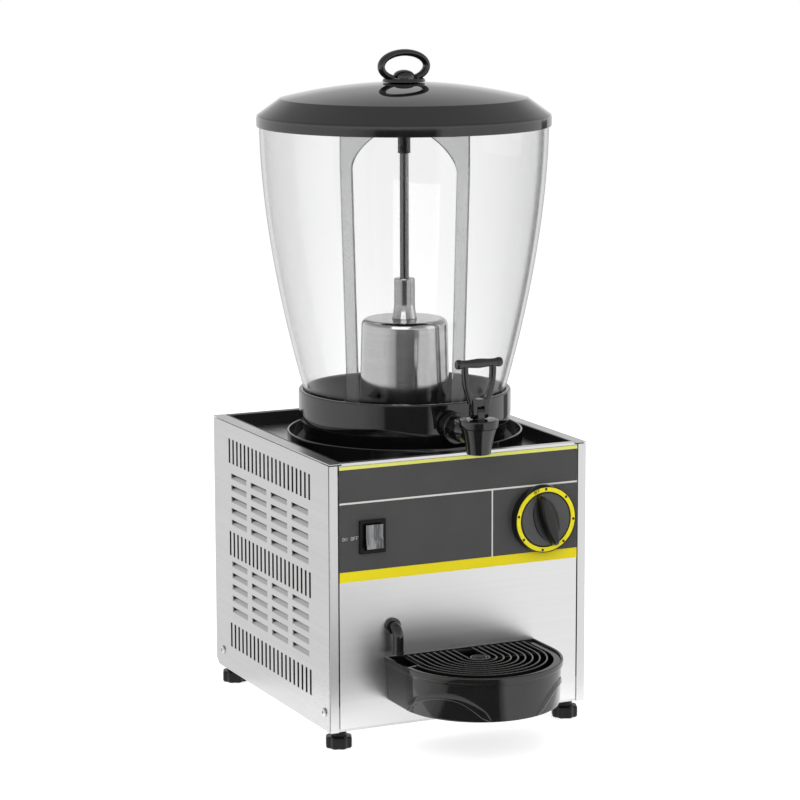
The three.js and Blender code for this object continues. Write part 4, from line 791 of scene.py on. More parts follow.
class Finishes:
    """Every finish of the machine, built once."""

    def __init__(self) -> None:
        """Builds the shared groups and the materials."""
        effects = Effects()
        made = {
            "front": SteelFinish("front_sheet", neutral(0.88), neutral(0.79), (0.27, 0.35),
                                 (30.0, 30.0, 2600.0), 0.06),
            "post": SteelFinish("post_sheet", neutral(0.82), neutral(0.72), (0.25, 0.34),
                                (2600.0, 2600.0, 30.0), 0.08),
            "side": SteelFinish("side_sheet", neutral(0.70), (0.54, 0.54, 0.545), (0.22, 0.32),
                                (30.0, 30.0, 2400.0), 0.18),
            "deck": SteelFinish("deck_sheet", neutral(0.80), neutral(0.62), (0.25, 0.38),
                                (2200.0, 30.0, 30.0), 0.25),
            "dome": SteelFinish("turned_steel", neutral(0.65), neutral(0.49), (0.07, 0.14),
                                (40.0, 40.0, 2400.0), 0.15),
            "rod": SteelFinish("ground_steel", neutral(0.22), neutral(0.14), (0.07, 0.14),
                               (40.0, 40.0, 2400.0), 0.1),
            "neck": SteelFinish("neck_steel", neutral(0.50), neutral(0.36), (0.07, 0.14),
                                (40.0, 40.0, 2400.0), 0.1),
            "bright": SteelFinish("plated_steel", neutral(0.78), neutral(0.62), (0.12, 0.2),
                                  (600.0, 600.0, 600.0), 0.1),
            "plain": SteelFinish("cooling_metal", (0.70, 0.71, 0.72), (0.5, 0.5, 0.51), (0.3, 0.45),
                                 (400.0, 400.0, 400.0), 0.2),
            "gloss": PlasticFinish("gloss_black", neutral(0.004), neutral(0.008), (0.03, 0.07),
                                   700.0, 0.02, specular=0.85),
            "tray": PlasticFinish("tray_black", neutral(0.005), neutral(0.010), (0.05, 0.10),
                                  1100.0, 0.04, specular=0.85),
            "trim": PlasticFinish("trim_black", neutral(0.010), neutral(0.02), (0.3, 0.45), 1400.0,
                                  0.15),
            "knob": PlasticFinish("control_black", neutral(0.006), neutral(0.012), (0.26, 0.36),
                                  1500.0, 0.1),
            "switch": PlasticFinish("switch_black", neutral(0.003), neutral(0.006), (0.2, 0.3),
                                    1500.0, 0.08, specular=0.2),
            "disc": PlasticFinish("disc_grey", (0.060, 0.060, 0.061), (0.082, 0.082, 0.084),
                                  (0.3, 0.42), 1500.0, 0.12),
            "foot": PlasticFinish("foot_black", neutral(0.004), neutral(0.009), (0.3, 0.42), 1000.0,
                                  0.2, specular=0.25),
            "yellow": PlasticFinish("dial_yellow", (0.95, 0.84, 0.012), (0.98, 0.88, 0.02),
                                    (0.3, 0.4), 1500.0, 0.08, specular=0.3),
            "rubber": PlasticFinish("seal_rubber", neutral(0.018), neutral(0.035), (0.6, 0.8),
                                    900.0, 0.3),
            "paint": PlasticFinish("machine_paint", (0.02, 0.02, 0.022), (0.035, 0.035, 0.038),
                                   (0.3, 0.45), 500.0, 0.25),
            "white": PlasticFinish("print_white", (0.6, 0.6, 0.58), (0.68, 0.68, 0.66), (0.4, 0.5),
                                   1500.0, 0.05),
            # The edge colours of the clear finishes below are painted shade along their contours
            "bowl": ClearFinish("clear_bowl", neutral(0.965), (0.22, 0.225, 0.23), 1.42,
                                (0.0, 0.01), 0.22),
            "clear": ClearFinish("clear_plate", (0.71, 0.715, 0.72), (0.10, 0.105, 0.11), 1.46,
                                 blend=0.35, haze=0.2),
            "smoke": ClearFinish("smoky_sleeve", (0.14, 0.14, 0.145), neutral(0.05), 1.46),
            "film": FilmFinish("printed_film"),
            "lens": LensFinish("rocker_lens"),
        }
        self.materials = {key: value.make(effects) for key, value in made.items()}

    def __getitem__(self, key: str) -> bpy.types.Material:
        """Returns the material of a finish."""
        return self.materials[key]


class Trees:
    """Geometry trees for what repeats or follows a path."""

    def __init__(self) -> None:
        """Builds each tree once."""
        self.circle = self._circle()
        self.strips = self._strips()

    @staticmethod
    def _start(name: str, inputs: Sequence[tuple[str, str]]) -> tuple[Graph, bpy.types.Node]:
        """Makes an empty tree that takes and gives geometry.

        Args:
            name: Name of the tree.
            inputs: Names and kinds of the inputs after the geometry.

        Returns:
            Its graph and input node.
        """
        tree = bpy.data.node_groups.new(name, "GeometryNodeTree")
        tree.interface.new_socket("Geometry", in_out="INPUT", socket_type="NodeSocketGeometry")
        tree.interface.new_socket("Geometry", in_out="OUTPUT", socket_type="NodeSocketGeometry")
        for label, kind in (*inputs, ("Finish", "NodeSocketMaterial")):
            tree.interface.new_socket(label, in_out="INPUT", socket_type=kind)
        graph = Graph(tree)
        return graph, graph.add("NodeGroupInput")

    @staticmethod
    def _end(graph: Graph, given: bpy.types.Node,
             geometry: bpy.types.NodeSocket) -> bpy.types.NodeTree:
        """Ends a tree with real geometry and its finish.

        Args:
            graph: The graph of the tree.
            given: Its input node.
            geometry: What the tree has made.

        Returns:
            The tree.
        """
        real = graph.add("GeometryNodeRealizeInstances", {0: geometry})
        dressed = graph.add("GeometryNodeSetMaterial", {"Geometry": real.outputs[0],
                                                        "Material": given.outputs["Finish"]})
        graph.add("NodeGroupOutput", {0: dressed.outputs[0]})
        return graph.tree

    def _circle(self) -> bpy.types.NodeTree:
        """Builds the tree that sets one piece out round an axis.

        Returns:
            The tree.
        """
        graph, given = self._start("pieces_round_an_axis", [
            ("Count", "NodeSocketInt"), ("Centre", "NodeSocketVector"),
            ("Step", "NodeSocketVector")])
        line = graph.add("GeometryNodeMeshLine",
                         {"Count": given.outputs["Count"], "Offset": (0.0, 0.0, 0.0)})
        back = graph.add("ShaderNodeVectorMath",
                         {0: given.outputs["Centre"], 1: (-1.0, -1.0, -1.0)},
                         operation="MULTIPLY")
        home = graph.add("GeometryNodeTransform", {"Geometry": given.outputs["Geometry"],
                                                   "Translation": back.outputs[0]})
        index = graph.add("GeometryNodeInputIndex")
        turn = graph.add("ShaderNodeVectorMath", {0: given.outputs["Step"]}, operation="SCALE")
        graph.tree.links.new(index.outputs[0], turn.inputs["Scale"])
        spin = graph.add("FunctionNodeEulerToRotation", {0: turn.outputs[0]})
        field = graph.add("GeometryNodeInstanceOnPoints", {
            "Points": line.outputs[0], "Instance": home.outputs[0], "Rotation": spin.outputs[0]})
        placed = graph.add("GeometryNodeTransform", {"Geometry": field.outputs[0],
                                                     "Translation": given.outputs["Centre"]})
        return self._end(graph, given, placed.outputs[0])

    def _strips(self) -> bpy.types.NodeTree:
        """Builds the tree that carries a rounded bar along each curve.

        Returns:
            The tree.
        """
        graph, given = self._start("bars_along_paths", [
            ("Width", "NodeSocketFloat"), ("Height", "NodeSocketFloat"),
            ("Rounding", "NodeSocketFloat")])
        bar = graph.add("GeometryNodeCurvePrimitiveQuadrilateral", {
            "Width": given.outputs["Width"], "Height": given.outputs["Height"]})
        soft = graph.add("GeometryNodeFilletCurve", {
            "Curve": bar.outputs[0], "Radius": given.outputs["Rounding"]}, mode="POLY")
        soft.inputs["Count"].default_value = 2
        swept = graph.add("GeometryNodeCurveToMesh", {
            "Curve": given.outputs["Geometry"], "Profile Curve": soft.outputs[0],
            "Fill Caps": True})
        return self._end(graph, given, swept.outputs[0])

    @staticmethod
    def grow(name: str, source: bpy.types.Object, tree: bpy.types.NodeTree,
             values: dict[str, object]) -> bpy.types.Mesh:
        """Runs a tree on an object and keeps the plain mesh.

        Args:
            name: Name of the mesh.
            source: Object that holds the first geometry. It is removed.
            tree: The tree.
            values: Inputs by name.

        Returns:
            The mesh.
        """
        modifier = source.modifiers.new(name, "NODES")
        modifier.node_group = tree
        for item in tree.interface.items_tree:
            if item.in_out == "INPUT" and item.name in values:
                modifier[item.identifier] = values[item.name]
        bpy.context.view_layer.update()
        view = bpy.context.evaluated_depsgraph_get()
        mesh = bpy.data.meshes.new_from_object(source.evaluated_get(view))
        mesh.name = name
        bpy.data.objects.remove(source)
        return mesh


@dataclass
class Workshop:
    """What every sub-assembly needs: finishes, trees and the way to put a piece in place."""

    finishes: Finishes
    trees: Trees

    @staticmethod
    def hold(name: str, data: bpy.types.ID) -> bpy.types.Object:
        """Returns a new object in the scene that holds this data."""
        thing = bpy.data.objects.new(name, data)
        bpy.context.scene.collection.objects.link(thing)
        return thing

    def put(self, name: str, made: Shape | bpy.types.Mesh, finish: str, body: str, slot: str,
            nodes: Iterable[str] = (), edge: float = 0.0, sharp: float = 32.0) -> bpy.types.Object:
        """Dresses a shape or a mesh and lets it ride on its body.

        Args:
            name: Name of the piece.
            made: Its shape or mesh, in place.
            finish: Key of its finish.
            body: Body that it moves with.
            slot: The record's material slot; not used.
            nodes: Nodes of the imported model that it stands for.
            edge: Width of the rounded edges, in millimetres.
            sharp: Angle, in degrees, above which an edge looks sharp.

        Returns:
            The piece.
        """
        mesh = made.done(name) if isinstance(made, Shape) else made
        piece = self.hold(name, mesh)
        mesh.materials.clear()
        mesh.materials.append(self.finishes[finish])
        mesh.shade_smooth()
        mesh.set_sharp_from_angle(angle=math.radians(sharp))
        if edge:
            bevel = piece.modifiers.new("edges", "BEVEL")
            bevel.width = edge * MM
            bevel.segments = 2
            bevel.limit_method = "ANGLE"
            bevel.angle_limit = math.radians(sharp)
            bevel.harden_normals = True
            bevel.use_clamp_overlap = True
        else:
            weights = piece.modifiers.new("weights", "WEIGHTED_NORMAL")
            weights.mode = "FACE_AREA_WITH_ANGLE"
            weights.keep_sharp = True
        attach(piece, body)
        if nodes:
            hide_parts(*nodes)
        LOG.info("%s on %s: %d faces", name, body, len(mesh.polygons))
        return piece

    def soften(self, node: str, finish: str, slot: str, edge: float = 0.35) -> bpy.types.Object:
        """Puts a copy of a node with rounded edges in the node's place.

        Args:
            node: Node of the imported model.
            finish: Key of its finish.
            slot: The record's material slot.
            edge: Width of the rounded edges, in millimetres.

        Returns:
            The piece.
        """
        source = frame["nodes"][node]
        made = bmesh.new()
        made.from_mesh(source.data)
        bmesh.ops.remove_doubles(made, verts=made.verts[:], dist=NODE_WELD)
        bmesh.ops.dissolve_limit(made, angle_limit=FLAT_TURN, verts=made.verts[:],
                                 edges=made.edges[:])
        mesh = bpy.data.meshes.new(f"{node}_look")
        made.to_mesh(mesh)
        made.free()
        return self.put(f"{node}_look", mesh, finish, source["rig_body"], slot, [node], edge)

    def bars(self, name: str, lines: Iterable[Iterable[Sequence[float]]],
             sizes: tuple[float, float, float], finish: str) -> bpy.types.Mesh:
        """Grows rounded bars along lines.

        Args:
            name: Name of the mesh.
            lines: Points in the machine's own frame.
            sizes: Width, height and rounding of the bars.
            finish: Key of their finish.

        Returns:
            The mesh.
        """
        data = bpy.data.curves.new(name, "CURVE")
        data.dimensions = "3D"
        for line in lines:
            points = list(line)
            spline = data.splines.new("POLY")
            spline.points.add(len(points) - 1)
            for spot, (x, y, z) in zip(spline.points, points):
                spot.co = (x * MM, (y + MACHINE_Y) * MM, (z + FOOT_HEIGHT) * MM, 1.0)
        values = {key: size * MM for key, size in zip(("Width", "Height", "Rounding"), sizes)}
        return self.trees.grow(name, self.hold(name, data), self.trees.strips,
                               {**values, "Finish": self.finishes[finish]})

    def paint_node(self, node: str, finish: str) -> None:
        """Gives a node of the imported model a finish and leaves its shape."""
        data = frame["nodes"][node].data
        data.materials.clear()
        data.materials.append(self.finishes[finish])


@dataclass
class Studio:
    """Camera, floor, card, lamps and world."""

    azimuth: float = -0.4389
    elevation: float = 0.17336
    roll: float = -0.0028
    distance: float = 2913.0912
    aim_right: float = -59.6161
    aim_up: float = 314.5798
    lens: float = 131.989
    sensor: float = 36.0
    clip: Point = (0.1, 50.0)
    floor_reach: float = 12.0
    floor_drop: float = -0.0002
    floor_glow: float = 0.66
    card_reach: Point = (0.25, 8.0)
    card_drop: float = -0.0001
    card_steps: int = 96
    middle: tuple[float, float, float] = (0.0, 0.0, 0.34)
    sky_light: float = 0.42
    sky: tuple[Point, ...] = ((0.0, 0.95), (0.1, 0.9), (0.25, 0.7), (0.6, 0.45), (1.0, 0.42))
    bands: tuple[Point, ...] = (
        (-180, 0.45), (-172, 0.45), (-160, 0.95), (-64, 0.95), (-48, 0.88), (-33, 0.66),
        (-25, 0.5), (-20, 0.1), (23, 0.09), (26, 0.5), (30, 0.95), (132, 0.95),
        (136, 0.2), (146, 0.2), (150, 0.9), (160, 0.9), (172, 0.45), (180, 0.45))

    def camera(self) -> None:
        """Sets the camera at the photo's viewing angle."""
        a, e = self.azimuth, self.elevation
        back = Vector((math.sin(a) * math.cos(e), -math.cos(a) * math.cos(e), math.sin(e)))
        right = (-back).cross(Vector((0, 0, 1))).normalized()
        up = right.cross(-back)
        right, up = (right * math.cos(self.roll) + up * math.sin(self.roll),
                     up * math.cos(self.roll) - right * math.sin(self.roll))
        spot = right * self.aim_right + up * self.aim_up + back * self.distance
        data = bpy.data.cameras.new("camera")
        data.sensor_width = self.sensor
        data.lens = self.lens
        data.clip_start, data.clip_end = self.clip
        thing = Workshop.hold("camera", data)
        turn = Matrix((right, up, back)).transposed().to_4x4()
        place = Vector((spot.x, spot.y + MACHINE_Y, spot.z + FOOT_HEIGHT)) * MM
        thing.matrix_world = Matrix.Translation(place) @ turn
        bpy.context.scene.camera = thing

    @staticmethod
    def _seen(graph: Graph) -> bpy.types.NodeSocket:
        """Returns 1 for rays from the camera, from gloss and through clear pieces."""
        path = graph.add("ShaderNodeLightPath")
        both = graph.maths("MAXIMUM", path.outputs["Is Camera Ray"], path.outputs["Is Glossy Ray"])
        return graph.maths("MAXIMUM", both, path.outputs["Is Transmission Ray"])

    @staticmethod
    def _bounced(graph: Graph) -> bpy.types.NodeSocket:
        """Returns 1 for rays that gloss has thrown back."""
        path = graph.add("ShaderNodeLightPath")
        return graph.maths("GREATER_THAN", path.outputs["Glossy Depth"], 0.5)

    @staticmethod
    def _blank(holder: bpy.types.Material | bpy.types.World) -> Graph:
        """Returns the emptied graph of a material or a world."""
        holder.use_nodes = True
        holder.node_tree.nodes.clear()
        return Graph(holder.node_tree)

    def world(self) -> None:
        """Makes a soft grey world that the camera sees as white and gloss as darker higher up."""
        world = bpy.data.worlds.new("studio")
        bpy.context.scene.world = world
        graph = self._blank(world)
        soft = graph.add("ShaderNodeBackground", {"Color": (1, 1, 1, 1),
                                                  "Strength": self.sky_light})
        white = graph.add("ShaderNodeBackground", {"Color": (1, 1, 1, 1), "Strength": 1.0})
        mixed = graph.add("ShaderNodeMixShader", {0: self._seen(graph), 1: soft.outputs[0],
                                                  2: white.outputs[0]})
        way = graph.add("ShaderNodeTexCoord").outputs["Generated"]
        split = graph.add("ShaderNodeSeparateXYZ", {0: way})
        tone = graph.ramp(split.outputs[2], [(place, neutral(tone)) for place, tone in self.sky])
        above = graph.add("ShaderNodeBackground", {"Color": tone, "Strength": 1.0})
        whole = graph.add("ShaderNodeMixShader", {0: self._bounced(graph), 1: mixed.outputs[0],
                                                  2: above.outputs[0]})
        graph.add("ShaderNodeOutputWorld", {0: whole.outputs[0]})

    def floor(self) -> None:
        """Lays a plain pale floor that keeps the object's shadow."""
        reach = self.floor_reach
        data = bpy.data.meshes.new("floor")
        data.from_pydata([(x, y, 0) for x, y in rectangle(-reach, reach, -reach, reach)], [],
                         [(0, 1, 2, 3)])
        thing = Workshop.hold("floor", data)
        thing.location.z = self.floor_drop
        material = bpy.data.materials.new("floor")
        graph = self._blank(material)
        matt = graph.add("ShaderNodeBsdfDiffuse", {"Color": (0.8, 0.8, 0.8, 1)})
        glow = graph.add("ShaderNodeEmission", {"Color": (1, 1, 1, 1), "Strength": self.floor_glow})
        both = graph.add("ShaderNodeAddShader", {0: matt.outputs[0], 1: glow.outputs[0]})
        mixed = graph.add("ShaderNodeMixShader", {0: self._seen(graph), 1: matt.outputs[0],
                                                  2: both.outputs[0]})
        graph.add("ShaderNodeOutputMaterial", {0: mixed.outputs[0]})
        data.materials.append(material)

    def card(self) -> None:
        """Lays a banded card on the floor all round, which only gloss shows, as upright bands."""
        steps = self.card_steps
        points = [point for reach in self.card_reach for point in ring((0, 0), reach, steps)]
        faces = [(i, (i + 1) % steps, steps + (i + 1) % steps, steps + i) for i in range(steps)]
        data = bpy.data.meshes.new("card")
        data.from_pydata([(x, y, self.card_drop) for x, y in points], [], faces)
        thing = Workshop.hold("card", data)
        material = bpy.data.materials.new("card")
        graph = self._blank(material)
        place = graph.add("ShaderNodeTexCoord").outputs["Object"]
        turned = graph.add("ShaderNodeVectorRotate", {"Vector": place, "Angle": -self.azimuth},
                           rotation_type="Z_AXIS")
        split = graph.add("ShaderNodeSeparateXYZ", {0: turned.outputs[0]})
        back = graph.maths("MULTIPLY", split.outputs[1], -1.0)
        angle = graph.maths("ARCTAN2", split.outputs[0], back)
        share = graph.add("ShaderNodeMapRange", {0: angle, 1: -math.pi, 2: math.pi})
        tone = graph.ramp(share.outputs[0],
                          [((turn + 180) / 360, neutral(tone)) for turn, tone in self.bands])
        dark = graph.add("ShaderNodeEmission", {"Color": tone, "Strength": 1.0})
        clear = graph.add("ShaderNodeBsdfTransparent")
        mixed = graph.add("ShaderNodeMixShader", {0: self._bounced(graph), 1: clear.outputs[0],
                                                  2: dark.outputs[0]})
        graph.add("ShaderNodeOutputMaterial", {0: mixed.outputs[0]})
        data.materials.append(material)

    def lamp(self, name: str, spot: Sequence[float], width: float, power: float) -> None:
        """Hangs a soft square lamp that points at the machine's middle.

        Args:
            name: Name of the lamp.
            spot: Its place in metres.
            width: Width of its face, in metres.
            power: Its power in watts.
        """
        data = bpy.data.lights.new(name, "AREA")
        data.shape = "RECTANGLE"
        data.size = data.size_y = width
        data.energy = power
        thing = Workshop.hold(name, data)
        thing.location = spot
        way = Vector(self.middle) - Vector(spot)
        thing.rotation_euler = way.to_track_quat("-Z", "Y").to_euler()
        thing.visible_glossy = False

    def lamps(self) -> None:
        """Hangs the key, the fill and the top lamp."""
        self.lamp("key", (-1.5, -2.0, 1.9), 2.4, 36.0)
        self.lamp("fill", (2.2, -1.2, 1.2), 2.2, 14.0)
        self.lamp("top", (0.1, 0.3, 2.6), 3.0, 24.0)

    def build(self) -> None:
        """Builds the whole studio."""
        self.world()
        self.floor()
        self.card()
        self.lamps()
        bpy.context.scene.view_settings.view_transform = "Standard"


@dataclass
class Bowl:
    """Clear bowl on its black collar, with the drip ring, the cooling dome and the neck."""

    work: Workshop
    foot_radius: float = 101.8
    mouth_radius: float = 144.4
    floor: float = 12.0
    height: float = 330.0
    wall: float = 4.0
    corner: float = 16.0
    hole: float = 52.0
    flare_bottom: float = 57.8
    flare_top: float = 323.8
    flare_power: float = 1.74
    collar_radius: float = 107.4
    collar_height: float = 59.6
    collar_curve_top: float = 36.0
    collar_drop: float = 11.1
    collar_power: float = 1.36
    ledge_radius: float = 80.0
    ring_radius: float = 119.3
    ring_hole: float = 60.0
    ring_height: float = 17.7
    ring_wall: float = 2.0
    dome_radius: float = 46.3
    dome_top_radius: float = 43.4
    dome_height: float = 130.8
    dome_corner: float = 6.0
    dome_wall: float = 2.2
    dome_flange: float = 55.0
    neck_radius: float = 12.9
    neck_top_radius: float = 10.6
    neck_height: float = 40.7
    neck_flare: float = 16.0
    neck_bore: float = 5.1
    neck_spigot: Point = (8.0, -4.5)
    neck_foot: float = 0.3
    collar_foot: float = 2.3
    collar_gap: float = 0.8
    collar_lip: float = 20.0
    ledge_depth: float = 3.0
    ring_floor: float = 2.0
    nipple: tuple[Point, ...] = ((3.5, -14.0), (5.0, -14.0), (5.0, 1.0), (3.5, 1.0))
    nipple_at: Point = (-73.8, 49.0)
    dome_seat: float = 0.3
    dome_flange_top: float = 2.8
    dome_shoulder: float = 18.3
    dome_eye: float = 8.4

    def outer(self, height: float) -> float:
        """Returns the bowl's outer radius at a height: it flares fast, then stands upright."""
        reach = (height - self.flare_bottom) / (self.flare_top - self.flare_bottom)
        left = 1 - min(1.0, max(0.0, reach))
        return self.mouth_radius - (self.mouth_radius - self.foot_radius) * left**self.flare_power

    def wall_profile(self) -> list[Point]:
        """Returns the closed profile of the bowl's wall and floor."""
        centre = (self.foot_radius - self.corner, self.floor + self.corner)
        inside = self.corner - self.wall
        profile = [(self.hole, self.floor)]
        profile += arc(centre, (self.corner, self.corner), -QUARTER_TURN, 0.0, 8)
        steps = 28
        flare = []
        for step in range(steps + 1):
            height = self.flare_bottom + (self.flare_top - self.flare_bottom) * step / steps
            flare.append((self.outer(height), height))
        profile += flare
        rim = self.wall / 2
        rim_centre = (self.mouth_radius - rim, self.height - rim)
        profile += arc(rim_centre, (rim, rim), 0.0, math.pi, 8)
        profile += [(radius - self.wall, height) for radius, height in reversed(flare)]
        profile += arc(centre, (inside, inside), 0.0, -QUARTER_TURN, 8)
        profile.append((self.hole, self.floor + self.wall))
        return profile

    def bowl(self) -> None:
        """Makes the clear bowl."""
        made = Shape().lathe(self.wall_profile(), 144, BOWL_FOOT)
        self.work.put("bowl_look", made, "bowl", "base", "clear_bowl", ["bowl"], sharp=60.0)

    def collar(self) -> None:
        """Makes the black collar that the bowl stands in."""
        foot = self.collar_foot
        inner = self.foot_radius + self.collar_gap
        corner = self.corner + self.collar_gap
        centre = (self.foot_radius - self.corner, self.floor + self.corner)
        low = self.collar_radius - self.collar_drop
        profile = []
        steps = 14
        for step in range(steps + 1):
            height = foot + (self.collar_curve_top - foot) * step / steps
            share = max(0.0, 1 - height / self.collar_curve_top)
            profile.append((self.collar_radius - self.collar_drop * share**self.collar_power,
                            height))
        rim, lip = self.collar_height, self.collar_height - self.collar_lip
        profile += rounded([(self.collar_radius, rim), (inner, rim), (inner, lip),
                            (self.collar_radius, lip)], 1.6, 4)[:10]
        profile += arc(centre, (corner, corner), 0.0, -QUARTER_TURN, 8)
        ledge = centre[1] - corner
        under = ledge - self.ledge_depth
        profile += [(self.ledge_radius, ledge), (self.ledge_radius, under), (low - 5.0, under),
                    (low - 5.0, foot)]
        made = Shape().lathe(profile, 128, BOWL_FOOT)
        self.work.put("collar_look", made, "gloss", "base", "gloss_black", ["bowl_collar"])

    def drip_ring(self) -> None:
        """Makes the shallow ring under the collar that catches drops."""
        inner = self.ring_radius - self.ring_wall
        outline = rounded([(self.ring_radius, 0.3), (self.ring_radius, self.ring_height),
                           (inner, self.ring_height), (inner, self.ring_floor),
                           (self.ring_hole, self.ring_floor), (self.ring_hole, 0.3)], 0.8, 4)
        made = Shape().lathe(outline, 128, BOWL_FOOT)
        made.lathe(self.nipple, 32, (*self.nipple_at, DECK_TOP))
        self.work.put("drip_ring_look", made, "gloss", "base", "gloss_black",
                      ["drip_ring"])

    def dome(self) -> None:
        """Makes the cooling dome of turned steel."""
        steps = 8
        centre = (self.dome_top_radius - self.dome_corner, self.dome_height - self.dome_corner)
        inside = self.dome_corner - self.dome_wall
        bore = self.dome_radius - self.dome_wall
        profile = [(bore, self.dome_seat), (self.dome_flange, self.dome_seat),
                   (self.dome_flange, self.dome_flange_top),
                   (self.dome_radius, self.dome_flange_top),
                   (self.dome_radius, self.dome_shoulder)]
        profile += arc(centre, (self.dome_corner, self.dome_corner), 0.0, QUARTER_TURN, steps)
        profile += [(self.dome_eye, self.dome_height),
                    (self.dome_eye, self.dome_height - self.dome_wall)]
        profile += arc(centre, (inside, inside), QUARTER_TURN, 0.0, steps)
        profile.append((bore, self.dome_shoulder))
        made = Shape().lathe(profile, 128, BOWL_FOOT)
        self.work.put("dome_look", made, "dome", "base", "dome_steel", ["cooling_dome"])

    def neck(self) -> None:
        """Makes the flared neck that guides the shaft."""
        spigot, low = self.neck_spigot
        profile = [(self.neck_bore, low), (spigot, low), (spigot, self.neck_foot)]
        swell = self.neck_radius - self.neck_top_radius
        profile += [(self.neck_top_radius + swell * (1 - part) ** 2,
                     self.neck_foot + self.neck_flare * part) for part in shares(10)]
        profile += [(self.neck_top_radius, self.neck_height - 1.2),
                    (self.neck_top_radius - 0.4, self.neck_height - 0.3),
                    (self.neck_top_radius - 1.2, self.neck_height),
                    (self.neck_bore, self.neck_height)]
        x, y, z = BOWL_FOOT
        made = Shape().lathe(profile, 64, (x, y, z + self.dome_height))
        self.work.put("neck_look", made, "neck", "base", "dome_steel", ["neck_sleeve"])

    def build(self) -> None:
        """Makes every piece of the bowl."""
        self.bowl()
        self.collar()
        self.drip_ring()
        self.dome()
        self.neck()
        self.work.paint_node("bowl_seal", "rubber")


@dataclass
class Stirrer:
    """Steel shaft with the clear stirring frame on its top."""

    work: Workshop
    shaft_radius: float = 4.5
    shaft_bottom: float = -22.0
    shaft_top: float = 317.0
    thickness: float = 4.5
    bottom: float = 31.0
    top: float = 338.0
    shoulder: float = 279.0
    outer_top: float = 71.4
    outer_bottom: float = 64.5
    leg_top: float = 12.7
    leg_bottom: float = 12.2
    crown_depth: float = 16.0
    crown_half: float = 14.0
    turn: float = -0.889
    corner: float = 8.0
    inner_shares: tuple[float, float, float] = (0.32, 0.66, 0.784)

    def _curve(self, leg: float, top: float) -> list[Point]:
        """Draws the inner shoulder of a leg up to the crown.

        Args:
            leg: Where the leg stands.
            top: Height of the crown's lower edge.

        Returns:
            The points from the leg to the crown.
        """
        rise = top - self.shoulder
        first, across, second = self.inner_shares
        ends = [(leg, self.shoulder), (leg, self.shoulder + rise * first),
                (leg * across, self.shoulder + rise * second), (self.crown_half, top)]
        found = []
        for t in shares(24):
            weights = ((1 - t) ** 3, 3 * t * (1 - t) ** 2, 3 * t * t * (1 - t), t**3)
            found.append((sum(w * p[0] for w, p in zip(weights, ends)),
                          sum(w * p[1] for w, p in zip(weights, ends))))
        return found

    def plate(self) -> None:
        """Makes the clear frame, an upside-down U."""
        inner_top = self.outer_top - self.leg_top
        inner_bottom = self.outer_bottom - self.leg_bottom
        outer = [(self.outer_top, self.shoulder)]
        for angle in (QUARTER_TURN * step / 8 for step in range(9)):
            outer.append((self.outer_top - self.corner * (1 - math.cos(angle)),
                          self.top - self.corner * (1 - math.sin(angle))))
        inner = self._curve(inner_top, self.top - self.crown_depth)
        outline = [(self.outer_bottom, self.bottom), *outer]
        outline += [(-x, z) for x, z in reversed(outer)] + [(-self.outer_bottom, self.bottom)]
        outline += [(-inner_bottom, self.bottom)] + [(-x, z) for x, z in inner]
        outline += list(reversed(inner)) + [(inner_bottom, self.bottom)]
        made = Shape().slab(outline, -self.thickness / 2, self.thickness, Plane.FRONT)
        made.turn(self.turn, "Z", (0, 0, 0)).shift(0, AXIS_Y, DECK_TOP)
        self.work.put("stirrer_look", made, "clear", "stirrer", "clear_stirrer",
                      ["stirrer_frame"], 0.6)

    def rod(self) -> None:
        """Makes the shaft and its hub."""
        rod = rounded([(0, self.shaft_bottom), (self.shaft_radius, self.shaft_bottom),
                       (self.shaft_radius, self.shaft_top), (0, self.shaft_top)], 1.0)
        made = Shape().lathe(rod, 48, BOWL_FOOT)
        self.work.put("shaft_look", made, "rod", "stirrer", "dome_steel", ["drive_shaft"])
        self.work.soften("stirrer_hub", "smoke", "clear_stirrer", 0.4)

    def build(self) -> None:
        """Makes every piece of the stirrer."""
        self.plate()
        self.rod()


